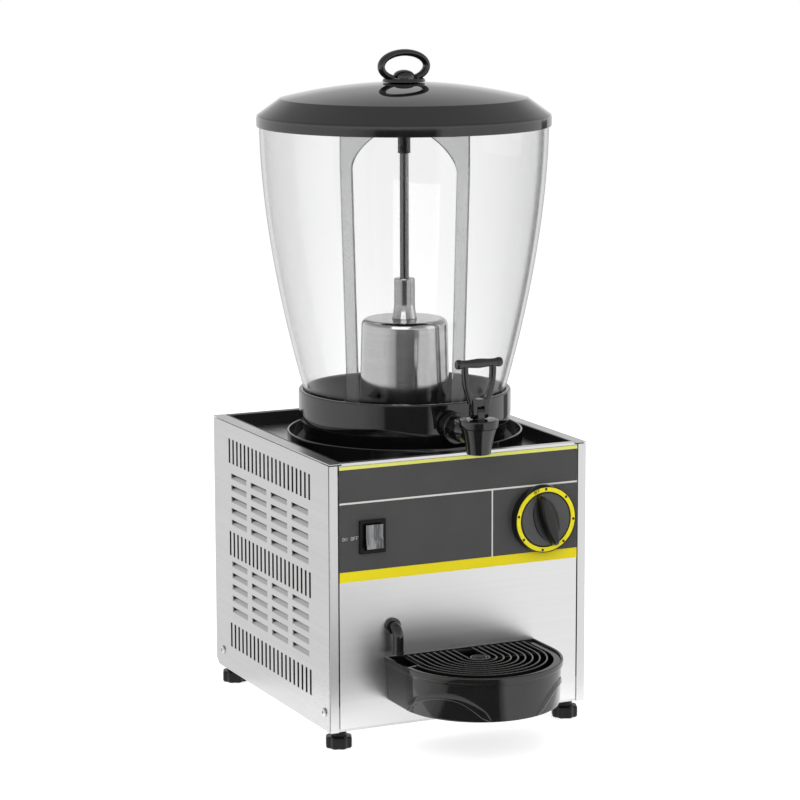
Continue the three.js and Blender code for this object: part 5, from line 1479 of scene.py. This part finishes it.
@dataclass
class Lid:
    """Black lid with its ring handle and the domed screw."""

    work: Workshop
    radius: float = 147.1
    skirt_bottom: float = 324.4
    skirt_top: float = 335.5
    bevel_radius: float = 124.0
    bevel_top: float = 352.2
    dome: float = 15.3
    wall: float = 3.0
    hole: float = 4.4
    skirt_inner: float = 144.9
    ledge: float = 4.4
    seat: float = 330.3
    ring_rise: float = 15.7
    ring_outer: Point = (27.8, 17.0)
    ring_inner: Point = (22.0, 10.2)
    ring_depth: float = 10.5
    base_radius: float = 22.0
    base_height: float = 3.5
    cap_radius: float = 10.7
    cap_height: float = 8.2

    def top_at(self, radius: float) -> float:
        """Returns the height of the lid's crown at a radius."""
        return self.bevel_top + self.dome * (1 - (radius / self.bevel_radius) ** 2)

    def shell(self) -> None:
        """Makes the lid itself."""
        steps = 20
        crown = [self.bevel_radius + (self.hole - self.bevel_radius) * step / steps
                 for step in range(steps + 1)]
        ledge = self.skirt_inner - self.ledge
        slope = (self.bevel_top - self.skirt_top) / (self.radius - self.bevel_radius)
        corner = self.bevel_top - self.wall - slope * (ledge - self.bevel_radius)
        profile = [(self.radius, self.skirt_bottom), (self.radius, self.skirt_top)]
        profile += [(r, self.top_at(r)) for r in crown]
        profile += [(r, self.top_at(r) - self.wall) for r in reversed(crown)]
        profile += [(ledge, corner), (ledge, self.seat), (self.skirt_inner, self.seat),
                    (self.skirt_inner, self.skirt_bottom)]
        made = Shape().lathe(rounded(profile, 2.2, 4), 144, BOWL_FOOT)
        self.work.put("lid_look", made, "gloss", "lid", "gloss_black", ["lid"])

    def handle(self) -> None:
        """Makes the ring handle with its round base."""
        z = DECK_TOP + self.top_at(0)
        base = 0.3 + self.base_height
        mid = [(a + b) / 2 for a, b in zip(self.ring_outer, self.ring_inner)]
        drop = math.asin((self.ring_rise - base) / mid[1])
        path = [Vector((x, AXIS_Y, z + self.ring_rise + rise))
                for x, rise in arc((0, 0), mid, -drop, math.pi + drop, 72)]
        half = (self.ring_outer[1] - self.ring_inner[1]) / 2
        section = oval((self.ring_depth / 2, half), 20)
        made = Shape().pipe(path, [section])
        made.lathe(rounded([(0, 0.3), (self.base_radius, 0.3), (self.base_radius - 1.5, base),
                            (0, base)], 1.2, 4),
                   64, (0, AXIS_Y, z))
        self.work.put("handle_look", made, "gloss", "lid", "gloss_black", ["lid_handle"])

    def cap(self) -> None:
        """Makes the domed screw."""
        seat = 0.6 + self.base_height
        edge = 2.0
        profile = [(0, -9.0), (4.0, -9.0), (4.0, seat), (self.cap_radius, seat)]
        profile += arc((0, seat + edge), (self.cap_radius, self.cap_height - edge), 0.0,
                       QUARTER_TURN, 12)
        profile[-1] = (0.0, seat + self.cap_height)
        made = Shape().lathe(profile, 48, (0, AXIS_Y, DECK_TOP + self.top_at(0)))
        self.work.put("cap_look", made, "gloss", "lid", "gloss_black", ["handle_cap_screw"])

    def build(self) -> None:
        """Makes every piece of the lid."""
        self.shell()
        self.handle()
        self.cap()


@dataclass
class Tap:
    """Lever tap with its spout, bonnet, fork and grip."""

    work: Workshop
    at: tuple[float, float, float] = (0.0, -40.0, 290.0)
    spout_top: Point = (17.8, 8.7)
    spout_bottom: Point = (11.9, -17.0)
    spout_power: float = 1.6
    outlet: float = 6.8
    bonnet_radius: float = 18.9
    bonnet_top: float = 17.0
    pin_rise: float = 23.0
    pin_radius: float = 2.2
    turret_half: float = 3.6
    turret_radius: float = 6.0
    eye_radius: float = 5.5
    eye_width: float = 4.0
    fork: tuple[Point, ...] = (
        (8.6, 32.5), (9.4, 36.0), (11.0, 40.0), (12.3, 44.5), (13.4, 49.0), (14.2, 54.0),
        (14.8, 60.0), (15.0, 66.0), (15.0, 71.5))
    fork_width: float = 6.0
    fork_depth: float = 6.8
    bar_rise: float = 71.5
    bar_half: float = 25.5
    bar_radius: float = 3.7
    grip_steps: int = 40
    grip_cap: float = 2.0
    end_bulb: tuple[float, float, float] = (1.0, 4.0, 3.0)
    middle_bulb: Point = (0.9, 8.0)
    play: float = 0.4
    nut_radius: float = 15.2
    tail: tuple[Point, ...] = (
        (0, 9.0), (8.2, 9.0), (8.2, 19.0), (9.2, 23.0), (11.0, 27.0), (12.0, 31.0),
        (12.0, 44.7), (9.6, 44.7), (9.6, 79.5), (0, 79.5))
    chamber: Point = (9.6, -8.0)
    throat_top: float = -11.0
    bridge: Point = (30.3, 37.0)
    bridge_half: float = 4.5
    nut_bore: float = 9.9
    nut_ends: Point = (45.0, 57.2)
    pin_head: Point = (3.4, 1.0)
    vent_at: Point = (-8.9, -5.0)
    vent: tuple[Point, ...] = (
        (0, 46.0), (0, 44.6), (1.2, 44.6), (1.7, 43.9), (2.5, 43.8), (3.2, 44.4), (3.2, 46.0))

    def above(self, rise: float) -> tuple[float, float, float]:
        """Returns the point that lies this far above the tap's middle."""
        return (self.at[0], self.at[1], self.at[2] + rise)

    def body(self) -> None:
        """Makes the spout and the pipe to the bowl."""
        (foot, low), (brim, high) = self.spout_bottom, self.spout_top
        profile = [(self.outlet, low)]
        profile += [(foot + (brim - foot) * part**self.spout_power, low + (high - low) * part)
                    for part in shares(14)]
        profile += [(self.chamber[0], high), self.chamber, (self.outlet, self.throat_top)]
        made = Shape().lathe(rounded(profile, 0.8, 3), 64, self.at)
        made.lathe(rounded(self.tail, 0.8), 48, self.at, Axis.BACK)
        self.work.put("tap_body_look", made, "gloss", "base", "gloss_black", ["tap_body"])

    def bonnet(self) -> None:
        """Makes the flat round top of the tap with its turret."""
        seat = self.spout_top[1] + 0.3
        flange = rounded([(0, 4.7), (9.3, 4.7), (9.3, seat), (self.bonnet_radius, seat),
                          (self.bonnet_radius, self.bonnet_top), (0, self.bonnet_top)], 1.2, 4)
        made = Shape().lathe(flange, 72, self.at)
        cap = arc((0, self.pin_rise), (self.turret_radius, self.turret_radius), 0.0, math.pi, 16)
        outline = [(self.turret_radius, self.bonnet_top - 0.6), *cap,
                   (-self.turret_radius, self.bonnet_top - 0.6)]
        made.slab(outline, -self.turret_half, self.turret_half * 2, Plane.SIDE, at=self.at)
        self.work.put("bonnet_look", made, "gloss", "base", "gloss_black", ["tap_bonnet"], 0.3)

    def lever(self) -> None:
        """Makes the lever: two eyes, a bridge, a fork and the grip."""
        inner = self.turret_half + self.play
        outer = inner + self.eye_width
        half = self.fork_width / 2
        made = Shape()
        for side in (-1.0, 1.0):
            eye = arc((0, self.pin_rise), (self.eye_radius,) * 2, math.pi, FULL_TURN, 16)
            top = self.bridge[1]
            arm = [*eye, (self.bridge_half, top), (-self.bridge_half, top)]
            hole = ring((0, self.pin_rise), self.pin_radius + self.play, 16)
            start = inner if side > 0 else -outer
            made.slab(arm, start, self.eye_width, Plane.SIDE, [hole], self.at)
            leg = rounded(rectangle(-half, half, -self.fork_depth / 2, self.fork_depth / 2), 2.6, 5)
            made.loft([([(px + x * side, py) for px, py in leg], z) for x, z in self.fork], self.at)
        bridge = rounded(rectangle(-outer, outer, *self.bridge), 1.2)
        made.slab(bridge, -self.bridge_half, self.bridge_half * 2, Plane.FRONT, at=self.at)
        grip = []
        count = self.grip_steps
        swell, place, width = self.end_bulb
        belly, reach = self.middle_bulb
        for step in range(count + 1):
            part = step / count
            x = -self.bar_half + 2 * self.bar_half * part
            end = self.bar_half - abs(x)
            bulb = (swell * math.exp(-((end - place) / width) ** 2)
                    + belly * math.exp(-(x / reach) ** 2))
            cap = max(0.0, 1 - end / self.grip_cap)
            radius = (self.bar_radius + bulb) * math.sqrt(max(0.0, 1 - cap**2))
            grip.append((radius if 0 < step < count else 0.0, x))
        made.lathe(grip, 40, self.above(self.bar_rise), Axis.RIGHT)
        self.work.put("lever_look", made, "gloss", "lever", "gloss_black", ["tap_lever"])

    def small(self) -> None:
        """Makes the nut with its small cup and the pin, and dresses the inner pieces."""
        nut = rounded(rectangle(self.nut_bore, self.nut_radius, *self.nut_ends), 1.2, 4)
        made = Shape().lathe(nut, 64, self.at, Axis.BACK)
        x, y, z = self.at
        vent_at = (x + self.vent_at[0], y, z + self.vent_at[1])
        made.lathe(rounded(self.vent, 0.3), 32, vent_at, Axis.BACK)
        self.work.put("tap_nut_look", made, "gloss", "base", "gloss_black", ["tap_nut"])
        head = self.turret_half + self.play + self.eye_width + 0.3
        wide, thick = self.pin_head
        pin = rounded([(0, -head - thick), (wide, -head - thick), (wide, -head),
                       (self.pin_radius, -head), (self.pin_radius, head), (wide, head),
                       (wide, head + thick), (0, head + thick)], 0.4)
        made = Shape().lathe(pin, 32, self.above(self.pin_rise), Axis.RIGHT)
        self.work.put("pin_look", made, "gloss", "base", "fastener_steel", ["lever_pin"])
        for node in ("tap_plunger", "tap_washer"):
            self.work.paint_node(node, "rubber")
        self.work.soften("tap_inner_nut", "gloss", "gloss_black", 0.3)

    def build(self) -> None:
        """Makes every piece of the tap."""
        self.body()
        self.bonnet()
        self.lever()
        self.small()


@dataclass
class Tray:
    """Drip tray that hangs on two studs, with its grid of nested ribs."""

    work: Workshop
    arc_y: float = -41.0
    rim_radius: float = 82.5
    wall_radius: float = 81.0
    foot_radius: float = 79.5
    bottom: float = 27.0
    top: float = 71.5
    rim: float = 6.0
    wall: float = 2.5
    back: float = -0.4
    rebate: float = 5.4
    first_rib: float = 10.6
    rib_pitch: float = 7.02
    ribs: int = 9
    rib_width: float = 1.8
    rib_depth: float = 4.0
    frame_width: float = 6.2
    back_bar: float = 4.0
    boss: float = 8.5
    notch_x: float = 63.3
    notch_y: float = -36.0
    steps: int = 56
    crease: tuple[Point, ...] = (
        (-177, 28.5), (-173.6, 35.6), (-165.9, 42.3), (-156.1, 48.6), (-147.7, 51.7),
        (-140.2, 52.7), (-133.1, 51.9), (-127.2, 49.4), (-121.4, 44.8), (-115.7, 38.7),
        (-110.9, 32.3), (-107.9, 28.5))
    crease_radii: Point = (0.9, 4.2)
    crease_parts: int = 4
    play: float = 0.6
    sink: float = 0.3
    frame_depth: float = 3.0
    arms: int = 3
    arm_half: float = 1.5
    arm_depth: float = 1.5
    notch_bar: float = 4.0
    dish: float = 2.6
    crease_inset: float = 0.35

    def outline(self, radius: float, back: float) -> list[Point]:
        """Returns straight sides from the panel, then a half circle to the front."""
        return [(-radius, back), (-radius, back / 2 + self.arc_y / 2),
                *arc((0, self.arc_y), (radius, radius), math.pi, FULL_TURN, self.steps),
                (radius, back / 2 + self.arc_y / 2), (radius, back)]

    def tray(self) -> None:
        """Makes the tray with its stepped rim."""
        foot, wall, rim = self.foot_radius, self.wall_radius, self.rim_radius
        low, high, lip = self.bottom, self.top, self.top - self.rim
        edge, seat = self.back, self.top - self.rebate
        inner, back = rim - self.wall, edge - self.wall
        levels = [
            (foot - 2.2, edge, low), (foot - 0.6, edge, low + 0.6), (foot, edge, low + 2.2),
            (wall - 0.6, edge, lip - 2.6), (wall, edge, lip - 2.2), (wall + 0.2, edge, lip),
            (rim - 0.3, edge, lip + 0.4), (rim, edge, lip + 1.0), (rim, edge, high - 1.2),
            (rim - 0.35, edge, high - 0.35), (rim - 1.2, edge - 0.6, high),
            (inner + 0.5, back + 0.4, high), (inner, back, high - 0.5), (inner, back, seat),
            (wall - self.wall, back - 0.3, seat), (foot - self.wall, back - 0.3, low + self.wall),
        ]
        made = Shape().loft([(self.outline(radius, start), z) for radius, start, z in levels])
        full = oval(self.crease_radii, 20)
        for side in (-1.0, 1.0):
            path, sections = [], []
            for angle, z in self.crease_path():
                share = (z - low) / (lip - low)
                radius = foot + (wall - foot) * share - self.crease_inset
                path.append(Vector((-side * radius * math.cos(angle),
                                    self.arc_y + radius * math.sin(angle), z)))
                wide = min(1.0, 0.12 + (z - low) / 9.0)
                sections.append([(across, along * wide) for across, along in full])
            made.pipe(path, sections)
        self.work.put("tray_look", made, "tray", "tray", "tray_black", ["drip_tray"], sharp=40.0)

    def crease_path(self) -> list[Point]:
        """Returns the raised arch on the tray's left front, as angles in radians and heights."""
        found = []
        for first, last in zip(self.crease, self.crease[1:]):
            for part in shares(self.crease_parts)[:-1]:
                found.append((math.radians(first[0] + (last[0] - first[0]) * part),
                              first[1] + (last[1] - first[1]) * part))
        return [*found, (math.radians(self.crease[-1][0]), self.crease[-1][1])]

    def grid(self) -> None:
        """Makes the grid: ribs grown along their paths, a frame and a boss."""
        top = self.top - self.sink
        inner_radius = self.rim_radius - self.wall - self.play
        back = self.back - self.wall - self.play
        z = top - self.rib_depth / 2
        lines = []
        for rib in range(self.ribs):
            radius = self.first_rib + rib * self.rib_pitch
            points = self.outline(radius, back - self.back_bar / 2)
            if radius + self.rib_width / 2 > self.notch_x:
                points = [p for p in points
                          if not (p[0] < 0 and p[1] > self.notch_y - self.notch_bar)]
            lines.append([(x, y, z) for x, y in points])
        mesh = self.work.bars("grid_ribs", lines, (self.rib_width, self.rib_depth, 0.6), "tray")
        self.work.put("grid_ribs", mesh, "tray", "grid", "tray_black", sharp=50.0)
        seat = self.top - self.rebate + self.sink
        outline = self.outline(inner_radius, back)
        notch = [(-self.notch_x, back), (-self.notch_x, self.notch_y)]
        outline = notch + [p for p in outline[1:]
                           if not (p[0] < -self.notch_x and p[1] > self.notch_y)]
        hole = self.outline(inner_radius - self.frame_width, back - self.back_bar)
        side_x, side_y = self.frame_depth - self.notch_x, self.notch_y - self.notch_bar
        hole = [p for p in hole if not (p[0] < side_x and p[1] > side_y)]
        hole = [(side_x, back - self.back_bar), (side_x, side_y), *hole]
        made = Shape().slab(outline, seat, self.frame_depth, Plane.FLAT, [hole])
        for step in range(self.arms):
            angle = math.pi + math.pi * step / 2
            side = Vector((-math.sin(angle), math.cos(angle))) * self.arm_half
            end = Vector((math.cos(angle), math.sin(angle))) * (inner_radius - 3)
            centre = Vector((0, self.arc_y))
            arm = [centre - side, centre + end - side, centre + end + side, centre + side]
            made.slab([tuple(corner) for corner in arm], seat + 0.1, self.arm_depth)
        dish = top - self.dish
        boss = rounded([(0, seat), (self.boss, seat), (self.boss, top), (self.boss - 1.4, top),
                        (self.boss - 2.0, dish), (0, dish)], 0.5, 3)
        made.lathe(boss, 48, (0, self.arc_y, 0))
        self.work.put("grid_frame", made, "tray", "grid", "tray_black", ["drip_grid"], 0.4)

    def build(self) -> None:
        """Makes every piece of the tray."""
        self.tray()
        self.grid()
        for side in ("left", "right"):
            self.work.soften(f"{side}_tray_stud", "bright", "fastener_steel", 0.3)


@dataclass
class Elbow:
    """Black drain elbow with its collar on the front sheet."""

    work: Workshop
    x: float = -73.8
    z: float = 101.5
    reach: float = 13.4
    bend: float = 9.0
    end_z: float = 76.6
    radius: float = 5.25
    bore: float = 3.4
    spigot: float = 16.0
    collar_radius: float = 8.0
    collar_depth: float = 3.0

    def build(self) -> None:
        """Makes the elbow as one pipe with an open lip, and its collar."""
        centre = Vector((self.x, -self.reach + self.bend, self.z - self.bend))
        bend = [centre + Vector((0, -math.sin(a) * self.bend, math.cos(a) * self.bend))
                for a in (QUARTER_TURN * step / 16 for step in range(17))]
        path = [Vector((self.x, self.spigot, self.z)), Vector((self.x, 4.0, self.z)), *bend,
                Vector((self.x, -self.reach, (self.z + self.end_z) / 2)),
                Vector((self.x, -self.reach, self.end_z))]
        made = Shape().pipe(path, [ring((0, 0), self.radius, 32)])
        lip = rounded([(self.bore, self.end_z - 0.6), (self.radius + 0.5, self.end_z - 0.6),
                       (self.radius + 0.5, self.end_z + 2.0), (self.bore, self.end_z + 2.0)], 0.4)
        made.lathe(lip, 32, (self.x, -self.reach, 0))
        collar = rounded([(self.radius - 1, -0.3 - self.collar_depth),
                          (self.collar_radius, -0.3 - self.collar_depth),
                          (self.collar_radius, -0.3), (self.radius - 1, -0.3)], 0.9, 4)
        made.lathe(collar, 48, (self.x, 0, self.z), Axis.BACK)
        self.work.put("elbow_look", made, "tray", "base", "tray_black", ["drain_elbow"])
        self.work.paint_node("drain_hose", "rubber")


@dataclass
class Controls:
    """Rocker switch and thermostat dial on the printed film."""

    work: Workshop
    film_front: float = -0.8
    dial: Point = (89.9, 193.7)
    skirt_radius: float = 34.1
    face_radius: float = 33.4
    ring_inner: float = 28.1
    depth: float = 9.2
    gap: float = 0.5
    grip_length: float = 54.4
    grip_width: float = 13.0
    grip_height: float = 11.0
    grip_tilt: float = 0.32
    grip_end: float = 7.0
    grip_crown: tuple[Point, ...] = (
        (0.0, 1.0), (0.5, 0.98), (0.8, 0.93), (0.95, 0.82), (1.0, 0.66))
    base_length: float = 46.0
    base_width: float = 27.0
    dots: int = 7
    dot_radius: float = 1.4
    range_angle: float = 4.887
    off_angle: float = -0.34
    word_height: float = 2.6
    word_left: float = -3.2
    letter_width: float = 0.62
    letter_pitch: float = 1.45
    mark_height: float = 3.2
    mark_bar: Point = (0.45, 0.45)
    dial_bar: Point = (0.5, 0.5)
    bar_rounding: float = 0.1
    marks_at: tuple[Point, ...] = ((-127.0, 190.9), (-118.0, 190.9))

    def bar(self, length: float, width: float) -> list[Point]:
        """Draws an upright bar, widest in the middle, with round ends.

        Args:
            length: Its length.
            width: Its width.

        Returns:
            The closed outline.
        """
        end = self.grip_end / 2
        straight = length / 2 - end
        side = []
        steps = 16
        for step in range(-steps, steps + 1):
            part = step / steps
            side.append((end + (width / 2 - end) * (1 - part * part), straight * part))
        cap = arc((0, straight), (end, end), 0.0, math.pi, 12)[1:-1]
        return [*side, *cap, *[(-x, -y) for x, y in side], *[(-x, -y) for x, y in cap]]

    def knob(self) -> None:
        """Makes the skirt, the yellow ring, the disc and the grip of the dial."""
        x, z = self.dial
        at = (x, self.film_front, z)
        back, face = -self.gap, -self.gap - self.depth
        inner = self.ring_inner
        brim, foot = self.face_radius, self.skirt_radius
        skirt = [(0, face + 3.0), (inner - 0.2, face + 3.0), (inner - 0.2, face + 0.9),
                 (brim - 0.6, face + 0.9), (brim - 0.3, face), (brim, face), (foot, back),
                 (foot - 3, back), (brim - 4, face + 5.5), (7.0, face + 5.5), (7.0, back),
                 (3.0, back), (3.0, 12.0), (0, 12.0)]
        made = Shape().lathe(rounded(skirt, 0.5, 3), 96, at, Axis.BACK)
        self.work.put("dial_skirt", made, "knob", "knob", "control_black", ["thermostat_knob"])
        band = rounded([(inner, face + 1.2), (inner, face + 0.2), (brim - 0.9, face + 0.2),
                        (brim - 0.9, face + 1.2)], 0.25, 2)
        made = Shape().lathe(band, 96, at, Axis.BACK)
        self.work.put("dial_ring", made, "yellow", "knob", "control_black")
        disc = rounded([(0, face + 3.2), (0, face - 0.2), (inner - 1.6, face - 0.2),
                        (inner - 1.2, face + 3.2)], 0.8, 4)
        made = Shape().lathe(disc, 96, at, Axis.BACK)
        self.work.put("dial_disc", made, "disc", "knob", "control_black")
        base = oval((self.base_width / 2, self.base_length / 2), 64)
        full = self.bar(self.grip_length, self.grip_width)
        made = Shape()
        brow = [(a * 0.97, b * 0.97) for a, b in base]
        made.loft([(base, -face - 1.0), (base, 1.0 - face), (brow, 1.6 - face)], plane=Plane.FRONT)
        crown = []
        for part, share in self.grip_crown:
            crown.append(([(a * share, b * (0.4 + 0.6 * share)) for a, b in full],
                          self.grip_height * part - face))
        made.loft([(full, -face - 1.0), *crown], plane=Plane.FRONT)
        bmesh.ops.scale(made.mesh, verts=made.mesh.verts[:], vec=(1, -1, 1))
        made.turn(-self.grip_tilt, "Y", (0, 0, 0)).shift(*at)
        self.work.put("dial_grip", made, "knob", "knob", "control_black", sharp=50.0)

    def marks(self) -> None:
        """Sets the dots and the word of the scale round the yellow ring."""
        x, z = self.dial
        face = self.film_front - self.gap - self.depth
        radius = (self.ring_inner + self.face_radius) / 2
        dot = rounded([(0, face + 0.4), (0, face + 0.05), (self.dot_radius, face + 0.05),
                       (self.dot_radius, face + 0.4)], 0.1, 2)
        mesh = Shape().lathe(dot, 20, (x, 0, z + radius), Axis.BACK).done("dot")
        centre = Vector((x, MACHINE_Y, z + FOOT_HEIGHT)) * MM
        values = {"Count": self.dots, "Centre": centre, "Finish": self.work.finishes["knob"],
                  "Step": (0.0, self.range_angle / (self.dots - 1), 0.0)}
        grown = self.work.trees.grow("dial_dots", self.work.hold("dot", mesh),
                                     self.work.trees.circle, values)
        self.work.put("dial_dots", grown, "knob", "knob", "control_black")
        word = self.word("OFF", self.word_height, (self.word_left, radius - self.word_height / 2))
        turn = Matrix.Rotation(self.off_angle, 4, "Y")
        word = [[turn @ Vector((p[0], 0, p[1])) for p in line] for line in word]
        lines = [[Vector((p.x + x, face + 0.15, p.z + z)) for p in line] for line in word]
        mesh = self.work.bars("dial_word", lines, (*self.dial_bar, self.bar_rounding), "knob")
        self.work.put("dial_word", mesh, "knob", "knob", "control_black")

    def word(self, text: str, height: float, at: Point) -> list[list[Point]]:
        """Draws plain capitals as open lines.

        Args:
            text: The word, of the letters O, N and F.
            height: Height of the letters.
            at: Left foot of the first letter.

        Returns:
            The lines.
        """
        wide = self.letter_width * height
        middle = (wide / 2, height / 2)
        strokes = {
            "O": [arc(middle, middle, 0.0, FULL_TURN, 16)],
            "N": [[(0, 0), (0, height), (wide, 0), (wide, height)]],
            "F": [[(0, 0), (0, height), (wide, height)],
                  [(0, height / 2), (0.8 * wide, height / 2)]],
        }
        found = []
        for place, letter in enumerate(text):
            shift = at[0] + place * wide * self.letter_pitch
            found += [[(px + shift, pz + at[1]) for px, pz in line] for line in strokes[letter]]
        return found

    def print_marks(self) -> None:
        """Prints plain ON and OFF marks beside the switch."""
        lines = []
        for text, at in zip(("ON", "OFF"), self.marks_at):
            lines += [[Vector((px, self.film_front, pz)) for px, pz in line]
                      for line in self.word(text, self.mark_height, at)]
        mesh = self.work.bars("switch_words", lines, (*self.mark_bar, self.bar_rounding), "white")
        self.work.put("switch_words", mesh, "white", "base", "film_print")

    def build(self) -> None:
        """Makes every piece of the controls."""
        self.knob()
        self.marks()
        self.print_marks()
        self.work.soften("switch_bezel", "switch", "control_black", 0.9)
        self.work.soften("switch_rocker", "lens", "rocker_grey", 0.5)
        self.work.paint_node("thermostat_body", "paint")


@dataclass
class Cabinet:
    """Sheets, posts, rails, trim, screws and feet."""

    work: Workshop
    foot_x: float = 125.4
    foot_y: Point = (14.4, 285.2)
    knob_radius: float = 13.5
    knob_height: float = 11.5
    lobes: int = 8
    lobe_depth: float = 1.5
    screw_at: Point = (140.0, 18.2)
    screw_y: Point = (15.3, 280.5)
    screw: tuple[Point, ...] = (
        (0, -7.0), (2.0, -7.0), (2.0, 0.3), (4.4, 0.3), (4.4, 0.9), (3.9, 1.6), (2.6, 2.1),
        (1.7, 2.2), (1.5, 0.8), (0, 0.8))

    def feet(self) -> None:
        """Makes the four levelling feet with their lobed knobs."""
        count = self.lobes * 12
        outline = []
        for step in range(count):
            angle = FULL_TURN * step / count
            radius = self.knob_radius - self.lobe_depth * (1 - math.cos(self.lobes * angle)) / 2
            outline.append((radius * math.cos(angle), radius * math.sin(angle)))

        def level(share: float, height: float) -> tuple[list[Point], float]:
            """Returns the outline at a share of its size and a height."""
            return [(x * share, y * share) for x, y in outline], height

        for side, x in (("left", -self.foot_x), ("right", self.foot_x)):
            for end, y in zip(("front", "back"), self.foot_y):
                top = self.knob_height - FOOT_HEIGHT
                made = Shape().loft([level(0.93, -FOOT_HEIGHT), level(1.0, 1.2 - FOOT_HEIGHT),
                                     level(1.0, top - 1.6), level(0.95, top - 0.4),
                                     level(0.88, top)], (x, y, 0))
                neck = rounded([(0, top - 1), (8.0, top - 1), (7.4, -0.2), (0, -0.2)], 0.5)
                made.lathe(neck, 40, (x, y, 0))
                made.lathe([(0, -1.0), (4.0, -1.0), (4.0, 11.5), (3.5, 12.0), (0, 12.0)], 32,
                           (x, y, 0))
                node = f"{end}_{side}_foot"
                self.work.put(f"{node}_look", made, "foot", node, "foot_black", [node])

    def screws(self) -> None:
        """Makes the domed screws of the side panels."""
        for side, sign in (("left", -1.0), ("right", 1.0)):
            head = [(radius, sign * height) for radius, height in self.screw]
            for end, y in zip(("front", "back"), self.screw_y):
                at = (sign * self.screw_at[0], y, self.screw_at[1])
                made = Shape().lathe(head, 40, at, Axis.RIGHT)
                node = f"{end}_{side}_side_screw"
                self.work.put(f"{node}_look", made, "bright", "base", "fastener_steel",
                              [node])

    def sheets(self) -> None:
        """Rounds the edges of the bent sheets, but not the cut edges of the louvred ones."""
        for node, finish, slot in (
            ("front_panel", "front", "front_steel"), ("left_front_post", "post", "side_steel"),
            ("right_front_post", "post", "side_steel"), ("left_top_rail", "side", "side_steel"),
            ("right_top_rail", "side", "side_steel"), ("back_panel", "side", "side_steel"),
            ("deck", "deck", "deck_steel"),
        ):
            self.work.soften(node, finish, slot, 0.3)
        for node in ("left_side_panel", "right_side_panel"):
            self.work.soften(node, "side", "side_steel", 0.0)
        self.work.soften("base_pan", "deck", "deck_steel", 0.0)
        self.work.soften("well_trim", "trim", "rim_black", 0.4)
        self.work.paint_node("front_film", "film")

    def inside(self) -> None:
        """Dresses what stands inside the cabinet."""
        for node, finish in (
            ("compressor", "paint"), ("gearmotor", "paint"), ("fan_motor", "paint"),
            ("fan_blade", "knob"), ("fan_shroud", "plain"), ("condenser", "plain"),
            ("filter_drier", "plain"),
            ("suction_pipe", "bright"), ("cord_gland", "rubber"),
        ):
            self.work.paint_node(node, finish)

    def build(self) -> None:
        """Makes every piece of the cabinet."""
        self.sheets()
        self.feet()
        self.screws()
        self.inside()


def main() -> None:
    """Builds the studio, then the machine from the cabinet up."""
    logging.basicConfig(level=logging.INFO, format="%(message)s")
    studio = Studio()
    studio.camera()
    studio.build()
    work = Workshop(Finishes(), Trees())
    makers: list[Callable[[Workshop], object]] = [
        Cabinet, Controls, Elbow, Tray, Bowl, Stirrer, Lid, Tap]
    for maker in makers:
        maker(work).build()
        LOG.info("%s is built", maker.__name__)
    bpy.context.view_layer.update()


if __name__ == "__main__":
    main()
